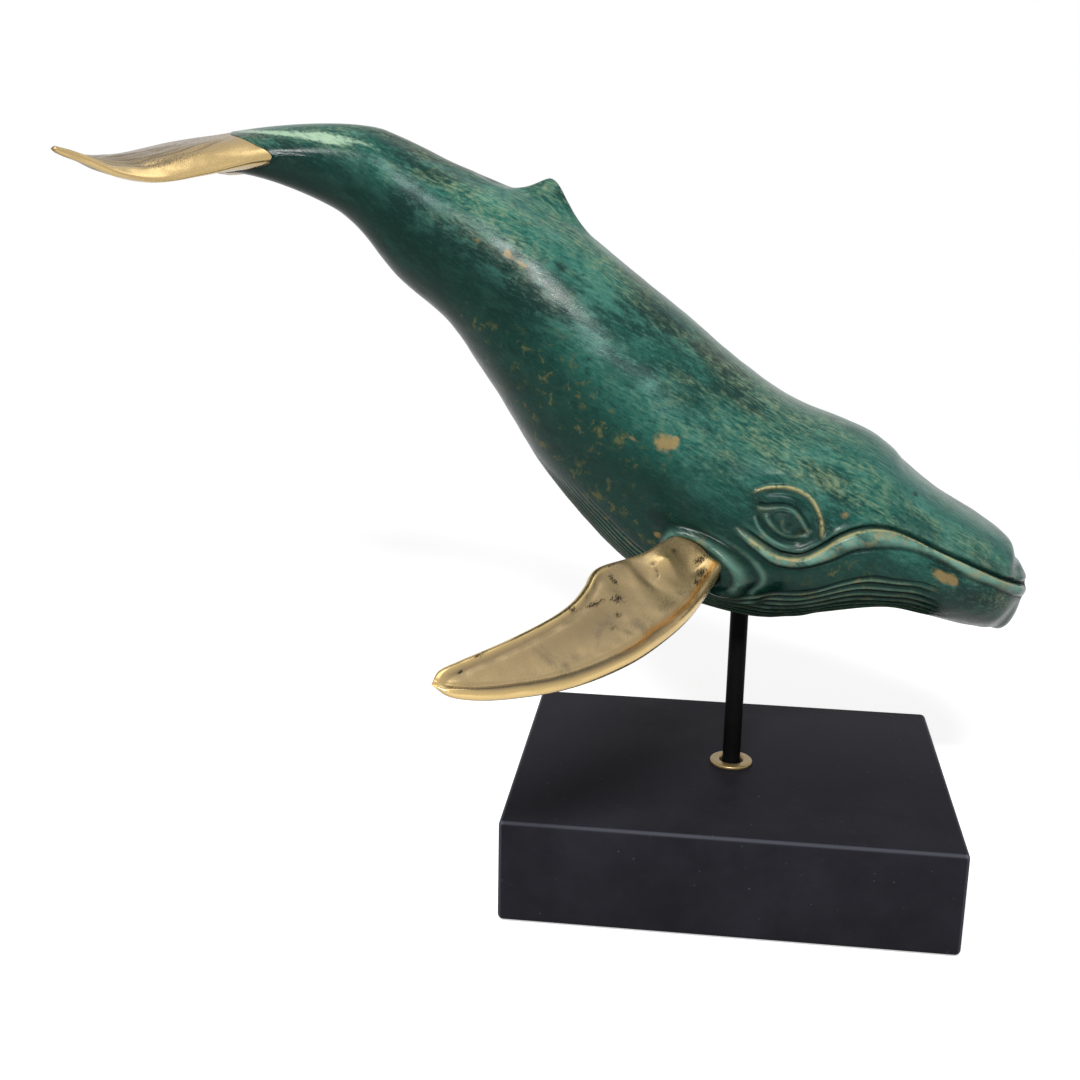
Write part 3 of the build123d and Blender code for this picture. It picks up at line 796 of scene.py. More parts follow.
@dataclass
class WhaleCasting:
    """The hollow casting of head, body and tail, as sections along the whale's chord."""

    length: float = 366.0
    depth: float = 99.0
    breadth: float = 95.0
    dive_angle: float = 28.5
    belly_height: float = 122.0
    section_power: float = 2.2
    rod_share: float = 0.26
    lip_rise: float = 1.9
    mouth_depth: float = 2.0
    pleat_depth: float = 1.15
    pleats_from: float = 34.0
    pleats_to: float = 214.0
    pleats_a_side: int = 13
    columns_a_pleat: int = 4
    ridge_columns: int = 12
    ridge_spacing: float = 0.9
    back_columns: int = 10
    face_columns: int = 45
    face_height: float = 28.0
    cheek_columns: int = 16
    cheek_depth: float = 11.0
    throat_columns: int = 21
    socket_radius: float = 7.5
    socket_depth: float = 26.0
    fin_half_breadth: float = 4.2
    fin_foot: float = 14.0
    collar_rise: float = 2.2
    collar_band: float = 3.4
    collar_roll: float = 4.0
    shoulder_rise: float = 8.0
    shoulder_reach: float = 13.0
    tail_rows: int = 22
    snout_rows: int = 10
    uneven: Waves = ((0.16, 30.0, 5), (0.05, 9.0, 6))

    # Ovals of the eye: middle along and above the chord, half length and height; then its pupil
    eyeball = (105.0, -18.9, 7.4, 5.4)
    eye_socket = (106.5, -17.0, 17.5, 12.5)
    lid_bulge = (108.0, -10.0, 1.9, 1.0)
    brow = (112.0, -2.0, 1.0, 1.0)
    pupil = (104.4, -19.0)
    # Outline of the body, as shares of its length, depth and breadth
    stations = (
        -0.0168, -0.0153, -0.012, -0.0068, 0.0, 0.012, 0.024, 0.04, 0.08, 0.13, 0.19, 0.205, 0.22,
        0.235, 0.26, 0.33, 0.41, 0.49, 0.57, 0.65, 0.73, 0.81, 0.88, 0.94, 1.0, 1.04,
    )
    back = (
        -0.13, -0.107, -0.063, -0.006, 0.049, 0.084, 0.10, 0.151, 0.168, 0.173, 0.204, 0.222, 0.233,
        0.2415, 0.2365, 0.197, 0.2135, 0.265, 0.31, 0.355, 0.361, 0.3236, 0.305, 0.266, 0.1355, 0.0,
    )
    belly = (
        0.16, 0.178, 0.204, 0.218, 0.2235, 0.24, 0.251, 0.271, 0.31, 0.377, 0.547, 0.602, 0.641,
        0.6805, 0.722, 0.793, 0.778, 0.6985, 0.573, 0.412, 0.272, 0.2144, 0.118, 0.085, 0.08, 0.12,
    )
    half_breadth = (
        0.04, 0.10, 0.18, 0.2526, 0.32, 0.47, 0.56, 0.65, 0.78, 0.88, 0.96, 0.97, 0.98,
        0.99, 1.0, 0.99, 0.96, 0.90, 0.82, 0.725, 0.59, 0.47, 0.37, 0.31, 0.34, 0.25,
    )
    # Lines that the columns of the mesh follow, and the back fin
    mouth_column = MOUTH_LINE + (
        (150.0, -29.5), (208.0, -27.0), (238.0, -20.0), (267.0, -12.0), (296.0, -6.0), (322.0, -2.0),
        (344.0, 0.0), (381.0, 1.0),
    )
    pleat_column = (
        (0.0, -9.5), (15.0, -10.5), (29.0, -11.5), (43.9, -12.6), (53.6, -16.4), (64.8, -21.2), (73.7, -29.6),
        (81.8, -39.2), (91.8, -46.1), (102.7, -51.7), (112.8, -57.1), (130.0, -62.5), (149.0, -63.2),
        (172.0, -57.5), (196.0, -50.0), (215.0, -44.0), (240.0, -34.0), (267.0, -24.0), (300.0, -17.0),
        (381.0, -6.0),
    )
    back_fin = (
        (228.0, 0.0), (234.0, 0.5), (242.2, 2.9), (248.6, 6.2), (253.8, 9.3), (257.2, 10.7), (260.2, 10.6),
        (262.9, 7.8), (265.7, 4.4), (269.0, 1.7), (272.5, 0.0), (279.3, -1.2), (290.0, 0.0),
    )
    row_spans = (
        (0.0, 0.75), (9.0, 1.15), (84.0, 0.5), (126.0, 0.85), (152.0, 3.2), (228.0, 1.15), (290.0, 3.4),
        (330.0, 1.6),
    )

    def in_frame(self, along: np.ndarray, height: np.ndarray, across: np.ndarray) -> np.ndarray:
        """Turns places on the whale's chord into the shared frame.

        Args:
            along: Distances from the snout.
            height: Heights above the chord.
            across: Distances to the whale's left.

        Returns:
            Places in millimetres.
        """
        dive = math.radians(self.dive_angle)
        belly = self.depth * smooth_at(self.stations, self.belly, np.array(self.rod_share))
        tailward = along - self.rod_share * self.length
        upward = height + belly
        x = -tailward * math.cos(dive) + upward * math.sin(dive)
        z = self.belly_height + tailward * math.sin(dive) + upward * math.cos(dive)
        return np.stack([x, across + 0 * x, z], axis=-1)

    def half_ring(self, along: float) -> tuple[np.ndarray, np.ndarray]:
        """Heights and half breadths of one side of the section at a distance from the snout.

        Args:
            along: Distance from the snout.

        Returns:
            Heights above the chord, and distances from the middle, from the back down.
        """
        share = np.array(along / self.length)
        top = self.depth * float(smooth_at(self.stations, self.back, share))
        bottom = -self.depth * float(smooth_at(self.stations, self.belly, share))
        half = self.breadth / 2 * float(smooth_at(self.stations, self.half_breadth, share))
        middle, deep = (top + bottom) / 2, top - bottom
        angles = np.radians(np.linspace(90, -90, 721))
        power = 2 / self.section_power
        across = np.abs(np.cos(angles)) ** power * half
        height = middle + np.sign(np.sin(angles)) * np.abs(np.sin(angles)) ** power * (deep / 2)
        run = np.concatenate([[0], np.cumsum(np.hypot(np.diff(across), np.diff(height)))])
        mouth, pleat = (
            float(smooth_at(*zip(*line), np.array(along))) for line in (self.mouth_column, self.pleat_column)
        )
        # Each column keeps room beside it where the section is shallow
        mouth = min(max(mouth, bottom + 0.35 * deep), top - 0.12 * deep)
        pleat = min(max(pleat, bottom + 0.06 * deep), mouth - 0.2 * (mouth - bottom))
        at_mouth, at_pleat = (np.interp(-line, -height, run) for line in (mouth, pleat))
        ridge = min(self.ridge_columns * self.ridge_spacing, 0.3 * at_mouth)
        face = at_mouth - min(self.face_height, 0.62 * (at_mouth - ridge))
        low = at_mouth + min(self.cheek_depth, 0.75 * (at_pleat - at_mouth))
        marks = [0, ridge, face, at_mouth, low, at_pleat, run[-1]]
        counts = (
            self.ridge_columns, self.back_columns, self.face_columns, self.cheek_columns, self.throat_columns,
            self.pleats_a_side * self.columns_a_pleat,
        )
        parts = [np.linspace(a, b, n, endpoint=False) for a, b, n in zip(marks, marks[1:], counts)]
        wanted = np.concatenate([*parts, [run[-1]]])
        return np.interp(wanted, run, height), np.interp(wanted, run, across)

    def flank(self) -> tuple[np.ndarray, np.ndarray, np.ndarray]:
        """Places of the smooth right flank before any carving, row by row.

        Returns:
            Distances from the snout, heights and distances from the middle.
        """
        ahead = 1 - np.linspace(0, 1, self.snout_rows, endpoint=False) ** 2
        body = spaced_rows(self.row_spans)
        tail = np.linspace(body[-1], self.length, self.tail_rows + 1)[1:]
        rows = np.concatenate([self.stations[0] * self.length * ahead, body, tail])
        height, across = np.moveaxis(np.array([self.half_ring(row) for row in rows]), 1, 0)
        return rows[:, None] + 0 * height, height, across

    def lips(self, along: np.ndarray, height: np.ndarray) -> Relief:
        """Relief of the mouth groove and the rolled lower lip.

        Args:
            along: Distances from the snout.
            height: Heights above the chord.

        Returns:
            The rise at each place, and how strongly it is a ridge, a groove or gilt.
        """
        to_mouth, share = Stroke(MOUTH_LINE).measure(along, height)
        to_edge, _ = Stroke(LIP_LOWER_EDGE).measure(along, height)
        fade = smooth_step((1 - share) / 0.10)
        mouth_at = straight_at(MOUTH_LINE, along)
        between = (height < mouth_at) & (height > straight_at(LIP_LOWER_EDGE, along))
        above = height >= mouth_at
        place = to_mouth / np.maximum(to_mouth + to_edge, 1e-3)
        roll = np.where(between, np.sin(math.pi * np.clip(place, 0, 1) ** 0.9) ** 0.8, 0)
        rise = self.lip_rise * roll * fade
        rise -= self.mouth_depth * bell(to_mouth, 0.85) * fade
        rise -= 0.75 * bell(to_edge, 0.75) * fade
        rise += np.where(above, 0.6 * bell(to_mouth - 2.2, 1.1), 0) * fade
        ridge = roll ** 2 * fade * 0.9 + np.where(above, 0.25 * bell(to_mouth - 1.9, 0.7), 0) * fade
        groove = np.maximum(bell(to_mouth + np.where(above, 0, 0.3), 0.75), 0.8 * bell(to_edge, 0.6)) * fade
        gilt = between * bell(to_mouth - 1.25, 0.42) * fade * smooth_step((along - 6) / 10)
        return rise, {Mark.RIDGE: ridge, Mark.GROOVE: groove, Mark.GILT: 0.9 * gilt}

    def eye(self, along: np.ndarray, height: np.ndarray) -> Relief:
        """Relief of the eye with its lids, folds and brow.

        Args:
            along: Distances from the snout.
            height: Heights above the chord.

        Returns:
            The rise at each place, and how strongly it is a ridge, a groove or gilt.
        """
        lower, upper = straight_at(LID_BOTTOM, along), straight_at(LID_TOP, along)
        inside = smooth_step((upper - height) / 0.8 + 0.3) * smooth_step((height - lower) / 0.8 + 0.3)
        inside *= (along > LID_BOTTOM[0][0]) & (along < LID_BOTTOM[-1][0])
        ball = 2.2 * np.sqrt(np.clip(1 - reach(along, height, self.eyeball) ** 2, 0, 1))
        socket = smooth_step((1.25 - reach(along, height, self.eye_socket)) / 0.6)
        bulge = spot(along, height, self.lid_bulge, 3.0)
        brow = spot(along, height, self.brow, 11.0)
        rise = -2.1 * socket + 0.9 * bulge + 1.5 * brow + inside * ball
        pupil_along, pupil_height = self.pupil
        pupil = np.hypot(along - pupil_along, (height - pupil_height) * 1.05)
        rise -= 0.7 * bell(pupil, 2.1)
        # Painted highlight: a light crescent round the top of the pupil, laid on the patina through the ridge
        # mark
        glint = smooth_step((pupil_height - 0.4 - height + 0.5 * (along - pupil_along)) / 1.5)
        painted_highlight_crescent = bell(pupil - 3.1, 0.6) * glint * inside
        groove = np.maximum.reduce([bell(pupil, 2.6), inside * 0.75, 0.55 * socket])
        marks = {Mark.RIDGE: 0.7 * painted_highlight_crescent, Mark.GROOVE: groove, Mark.GILT: 0 * groove}
        for stroke in EYE_STROKES:
            share = stroke.carve(along, height)
            rise += stroke.rise * share
            if stroke.mark:
                marks[stroke.mark] = np.maximum(marks[stroke.mark], share)
        return rise, marks

    def collar(self, places: np.ndarray, outward: np.ndarray) -> Relief:
        """Relief of the shoulder and the rolled fold that the flipper comes out of.

        Args:
            places: Places of the right flank in the frame.
            outward: The flank's direction outwards at each place.

        Returns:
            The rise at each place, and how strongly it is a ridge or a groove.
        """
        flipper = Flipper(Side.RIGHT)
        root, axes = np.array(flipper.root), np.array(flipper.axes()).T
        swell = np.zeros(places.shape[:-1])
        half_chord, half_thick, fore, middle = 13.1, 5.7, 0.9, -0.7
        # The swelling moves the flank, so its distance from the flipper settles in a few rounds
        for _ in range(4):
            away, chord, level = np.moveaxis((places + outward * swell[..., None] - root) @ axes, -1, 0)
            chord, level = (chord - fore) / half_chord, (level - middle) / half_thick
            out = np.hypot(chord, level)
            gap = (out - 1) * out / np.maximum(np.hypot(chord / half_chord, level / half_thick), 1e-6)
            ahead = smooth_step((chord / np.maximum(out, 1e-6) + 0.5) / 1.3)
            near = smooth_step((22 - np.abs(away - 3)) / 8)
            fall = bell(np.maximum(gap, 0), self.shoulder_reach)
            swell = self.shoulder_rise * (0.05 + 0.95 * ahead) * fall * near
        over = smooth_step((level / np.maximum(out, 1e-6) + 0.75) / 0.8)
        band, roll = self.collar_band * (0.2 + 0.8 * ahead), self.collar_roll * (0.75 + 0.35 * ahead)
        crown, foot = band + 0.5 * roll, gap - band - 1.35 * roll
        lift = smooth_step((gap + 0.8) / 1.6) * 0.5 * smooth_step((band + roll + 1 - gap) / roll)
        lift += 0.75 * bell(gap - crown, 0.5 * roll)
        lift -= 0.25 * bell(gap - band, 0.5) * ahead + 0.25 * bell(foot, 0.9)
        strength = (0.35 + 0.65 * over) * near
        rise = swell + self.collar_rise * lift * strength - 2.0 * smooth_step((-gap - 0.2) / 1.2) * near
        ridge = 0.55 * bell(gap - crown, 0.34 * roll) + 0.4 * bell(gap - band - 1.7 * roll, 0.7) * ahead
        groove = np.maximum(bell(gap - 0.3, 0.6), 0.7 * bell(gap - band, 0.4) * ahead)
        groove = np.maximum(groove, 0.5 * bell(foot, 0.7))
        return rise, {Mark.RIDGE: ridge * strength, Mark.GROOVE: groove * strength}

    def pleats(self, along: np.ndarray) -> Relief:
        """Relief of the throat pleats.

        Args:
            along: Distances from the snout.

        Returns:
            The rise at each place, and how strongly it is a ridge, a groove or gilt.
        """
        columns = along.shape[1]
        step = np.arange(columns) - (columns - 1 - self.pleats_a_side * self.columns_a_pleat)
        phase = np.where(step >= 0, step % self.columns_a_pleat, self.columns_a_pleat // 2)
        profile = np.array([1.0, 0.42, 0.0, 0.42])[phase]
        order = np.maximum(step, 0) / self.columns_a_pleat
        start = self.pleats_from - 9.0 * smooth_step(order / 6)
        end = self.pleats_to - 4.0 * np.abs(order - 6)
        fade = smooth_step((along - start) / 14) * smooth_step((end - along) / 40)
        crest = 0.4 * (profile == 0) * (step >= 0) * fade
        groove = np.where(profile == 1, 0.8, 0.2 * profile) * fade
        marks = {Mark.RIDGE: crest, Mark.GROOVE: groove, Mark.GILT: 0.3 * crest}
        return -self.pleat_depth * (profile * fade), marks

    def relief(
        self, along: np.ndarray, height: np.ndarray, across: np.ndarray, places: np.ndarray
    ) -> tuple[np.ndarray, np.ndarray, dict[Mark, np.ndarray]]:
        """Everything that is carved into the flank.

        Args:
            along: Distances from the snout.
            height: Heights above the chord.
            across: Distances from the middle.
            places: The same places in the frame.

        Returns:
            How far and which way each place moves, and its marks.
        """
        outward = np.cross(np.gradient(places, axis=1), np.gradient(places, axis=0))
        outward /= np.maximum(np.linalg.norm(outward, axis=2, keepdims=True), 1e-9)
        outward[:, 0, 1] = outward[:, -1, 1] = 0
        inside = places.mean(axis=1, keepdims=True)
        outward *= np.sign((outward * (places - inside)).sum(axis=2)[len(places) // 2].sum())
        flanked = smooth_step((across / np.maximum(across.max(axis=1, keepdims=True), 1) - 0.15) / 0.2)
        rise = np.zeros(along.shape)
        marks = {mark: np.zeros(along.shape) for mark in Mark}
        for (part, found), side in (
            (self.lips(along, height), 1.0), (self.eye(along, height), flanked),
            (self.collar(places, outward), flanked), (self.pleats(along), 1.0),
        ):
            rise += part * side
            for mark, strength in found.items():
                marks[mark] = np.maximum(marks[mark], strength * side)
        return rise, outward, marks

    def carved(self) -> tuple[np.ndarray, dict[str, np.ndarray]]:
        """Carves the flank and mirrors it into whole rings.

        Returns:
            Places of the rings in the frame, in millimetres, and the finish's masks.
        """
        along, height, across = self.flank()
        right = self.in_frame(along, height, -across)
        rise, outward, marks = self.relief(along, height, across, right)
        dive = math.radians(self.dive_angle)
        upright = np.array([math.sin(dive), 0, math.cos(dive)])
        fin = smooth_at(*zip(*self.back_fin), along) * np.exp(-((across / self.fin_half_breadth) ** 1.7))
        fin *= height > height.max(axis=1, keepdims=True) - self.fin_foot
        body_end = self.row_spans[-1][0]
        tail = smooth_step((along - body_end) / (self.length - body_end))[..., None]
        middle = (height[:, :1] + height[:, -1:]) / 2
        deep = np.maximum(height[:, :1] - height[:, -1:], 1) / 2
        # The under mask grows towards the bottom of each section. The patina paints shade by it, less under
        # the chin, and lays moss and olive by it
        chin = 0.22 * smooth_step((66 - along) / 46) * (height < 0)
        calm, at_nose = 1 - 0.6 * marks[Mark.RIDGE], smooth_step((along + 6) / 10)
        values = {mark.value: value for mark, value in marks.items()}
        values["under"] = 0.5 - 0.5 * (height - middle) / deep - chin
        halves, masks = [], {key: [] for key in (*values, *PATCHES)}
        for side in (Side.RIGHT, Side.LEFT):
            mirror = np.array([1, -side.value, 1])
            plain, facing = right * mirror, outward * mirror
            lift = (rise + ripple(plain, self.uneven) * calm) * np.maximum(at_nose, 0.25)
            raised = plain + facing * lift[..., None]
            raised += fin[..., None] * upright
            raised = (1 - tail) * raised + tail * self.seam(across, side)
            for key, patches in PATCHES.items():
                found = sum(patch[4] * spot(along, height, patch) for patch in patches[side])
                values[key] = np.clip(found, 0, 1)
            columns = slice(None) if side is Side.RIGHT else slice(-2, None, -1)
            halves.append(raised[:, columns])
            for key, value in values.items():
                masks[key].append(value[:, columns])
        rings = np.concatenate(halves, axis=1)
        return self.closed(rings, {key: np.concatenate(parts, axis=1) for key, parts in masks.items()})

    def seam(self, across: np.ndarray, side: Side) -> np.ndarray:
        """Places on the round seam where the green tail ends on the fluke.

        Args:
            across: Distances of the flank from the middle.
            side: Which side of the whale.

        Returns:
            Places in millimetres.
        """
        last = across.shape[1] - 1
        widest = np.argmax(across, axis=1)[:, None]
        step = np.arange(last + 1)[None, :]
        above, below = 0.5 * step / widest, 0.5 + 0.5 * (step - widest) / (last - widest)
        return TailFluke().seam_point(np.where(step < widest, above, below), side)

    def closed(
        self, rings: np.ndarray, masks: dict[str, np.ndarray]
    ) -> tuple[np.ndarray, dict[str, np.ndarray]]:
        """Draws the snout and the tail's hidden end in to one point each.

        Args:
            rings: Places of the rings.
            masks: The finish's masks on them.

        Returns:
            The rings and masks with rows for both ends.
        """
        snout = np.repeat(rings[:1].mean(axis=1, keepdims=True), rings.shape[1], axis=1)
        snout[..., 0] += 0.1
        inner = rings[-1:] * np.array([1, 0.7, 1]) + np.array([3.0, 0, 0])
        level = rings[-1:, :, 2].mean()
        inner[..., 2] = level + 0.15 * (rings[-1:, :, 2] - level)
        end = np.repeat(inner.mean(axis=1, keepdims=True), rings.shape[1], axis=1)
        ends = {key: np.concatenate([mask[:1], mask, mask[-1:], mask[-1:]]) for key, mask in masks.items()}
        return np.concatenate([snout, rings, inner, end]), ends

    def build(self, patina: bpy.types.Material) -> bpy.types.Object:
        """Builds the casting with the hole for the rod's socket.

        Args:
            patina: Its finish.

        Returns:
            The casting.
        """
        piece = grid_piece("whale_body_skin", *self.carved())
        socket = (self.belly_height - self.socket_depth, self.belly_height + self.socket_depth)
        cut_round(piece, self.socket_radius, *socket)
        seat(piece, patina, WHALE_BODY, "whale_body")
        return piece


@dataclass
class TailFluke:
    """The polished fluke, a blade across the end of the tail."""

    span: float = 160.0
    length: float = 62.0
    thickness: float = 15.0
    centre_height: float = 310.97
    front: float = -196.03
    tongue_length: float = 50.0
    tongue_width: float = 38.0
    tongue_setback: float = 4.0
    tongue_proud: float = 0.25
    crease_depth: float = 1.0
    hammering: Waves = ((0.09, 8.0, 23),)
    scallops: Waves = ((0.5, 11.0, 21),)

    # Edges, heights and thickness from the middle to a tip, and the blade's profile
    knots = (0.0, 0.15, 0.30, 0.45, 0.60, 0.75, 0.88, 0.96, 1.0)
    front_shares = (0.0, 0.0, 0.20, 0.45, 0.68, 0.87, 1.03, 1.11, 1.16)
    rear_shares = (1.04, 1.16, 1.23, 1.24, 1.24, 1.24, 1.23, 1.21, 1.19)
    front_rise = (0.05, 0.02, -0.02, -0.095, -0.145, -0.11, -0.02, 0.02, 0.045)
    rear_rise = (0.04, 0.0, -0.02, -0.01, 0.0, 0.02, 0.035, 0.045, 0.047)
    thick_shares = (1.0, 0.95, 0.72, 0.52, 0.40, 0.32, 0.26, 0.22, 0.16)
    face_knots = (0.0, 0.08, 0.30, 0.60, 0.90, 1.0)
    face_shares = (0.0, 0.30, 0.50, 0.34, 0.14, 0.0)
    # Creases: where they start on the chord, how far they lean outwards, and their depth
    crease_lines = (
        (0.20, 0.06, 0.6), (0.30, 0.03, 1.0), (0.38, -0.04, 0.7), (0.47, 0.05, 1.0), (0.56, -0.02, 0.8),
        (0.65, 0.03, 1.0), (0.74, 0.04, 1.0), (0.84, -0.03, 0.8),
    )

    def section(self, across: np.ndarray) -> tuple[np.ndarray, ...]:
        """Measures the blade across the whale.

        Args:
            across: Distances from the middle.

        Returns:
            Front and rear edge, the heights of both, and thickness.
        """
        share = np.abs(across) / (self.span / 2)
        return tuple(
            start + size * smooth_at(self.knots, table, share)
            for start, size, table in (
                (self.front, -self.length, self.front_shares), (self.front, -self.length, self.rear_shares),
                (self.centre_height, self.length, self.front_rise),
                (self.centre_height, self.length, self.rear_rise), (0, self.thickness, self.thick_shares),
            )
        )

    def half_thickness(self, share: np.ndarray) -> np.ndarray:
        """Half thickness share of the blade at a share of the way from front to rear."""
        return smooth_at(arc(self.face_knots), self.face_shares, arc(share))

    def seam_point(self, share: np.ndarray, side: Side) -> np.ndarray:
        """Point of the tail's round seam on the blade.

        Args:
            share: Share of the way from the top of the tail, over one side, to below it.
            side: Which side of the whale.

        Returns:
            Places in millimetres.
        """
        turn = math.pi * share
        square = np.where(share < 0.5, 1.0, 0.35)
        across = side.value * self.tongue_width / 2 * np.sin(turn) ** square
        x = self.front - self.tongue_setback - self.tongue_length / 2 * np.abs(np.cos(turn)) ** square
        front, rear, front_height, rear_height, thick = self.section(across)
        place = (front - x) / (front - rear)
        half = thick * self.half_thickness(place) + self.tongue_proud
        z = front_height + (rear_height - front_height) * place + np.where(share < 0.5, half, -half)
        return np.stack([x, across, z], axis=-1)

    def build(self, brass: bpy.types.Material) -> bpy.types.Object:
        """Builds the creased blade from tip to tip.

        Args:
            brass: Its finish.

        Returns:
            The blade.
        """
        across = np.linspace(-1, 1, 241)
        across = np.sign(across) * (1 - (1 - np.abs(across)) ** 1.15) * self.span / 2
        front, rear, front_height, rear_height, thick = (table[:, None] for table in self.section(across))
        across = across[:, None]
        turn = np.linspace(0, math.tau, 181)[None, :]
        share = (1 - np.cos(turn)) / 2
        half = self.half_thickness(share) * np.sign(np.sin(turn))
        chord = front - rear
        x = front - chord * share
        z = front_height + (rear_height - front_height) * share + thick * half
        out = np.abs(across) / (self.span / 2)
        rise, groove = self.creases(share, out, chord, across)
        edge = smooth_step(share * 9) * smooth_step((1 - share) * 9)
        hammered = ripple(np.stack([x, across + 0 * x, z], axis=-1), self.hammering)
        hammered = hammered * smooth_step((out - 0.1) * 5)
        on_top = np.sin(turn) >= 0
        z = z + (rise + hammered) * np.where(on_top, 1.0, -0.6) * edge * smooth_step((1 - out) * 6)
        rows = np.stack([x, across + 0 * x, z], axis=-1)
        rows[..., 0] += ripple(rows, self.scallops) * smooth_step((share - 0.7) / 0.3) * (out > 0.15)
        for end in (0, -1):
            rows[end] = rows[end].mean(axis=0)
        # Painted dark reflection: the rear of the blade takes a darker film, and its front a lighter polish
        # that is partly painted highlight
        film_and_dark_reflection = 0.8 * smooth_step((share - 0.30) / 0.25) + 0.35 * bell(share - 0.22, 0.05)
        masks = {
            "groove": groove * edge,
            "pits": (0.12 + 0.26 * bell(out - 0.5, 0.16) * bell(share - 0.25, 0.15)) * on_top,
            "polish": 0.55 * smooth_step((0.34 - share) / 0.20) + 0 * x,
            "film_and_dark_reflection": film_and_dark_reflection + 0 * x,
        }
        piece = grid_piece("tail_fluke_blade", rows, masks)
        seat(piece, brass, WHALE_BODY, "tail_fluke")
        return piece

    def creases(
        self, share: np.ndarray, out: np.ndarray, chord: np.ndarray, across: np.ndarray
    ) -> tuple[np.ndarray, np.ndarray]:
        """Creases that run from the root out to each tip.

        Args:
            share: Share of the way from front to rear.
            out: Share of the way from the middle to the tip.
            chord: Length of the blade from front to rear.
            across: Distances from the middle.

        Returns:
            The rise and the groove's strength at each place.
        """
        rise = groove = 0 * (share * out)
        for i, (start, lean, depth) in enumerate(self.crease_lines):
            wander = 0.03 * np.sin(across / (9 + 2 * i) + 2.1 * i) + 0.012 * np.sin(across / 3.1 + i)
            gap = (share - start - lean * out - wander) * chord
            fade = smooth_step((out - 0.12) * 5) * (0.55 + 0.45 * np.sin(across / (14 + i) + 1.7 * i))
            cut = bell(gap, 1.1) * fade
            rise = rise - self.crease_depth * depth * cut + 0.35 * depth * bell(gap + 2.8, 1.8) * fade
            groove = np.maximum(groove, cut * depth)
        return rise, np.clip(groove, 0, 1)


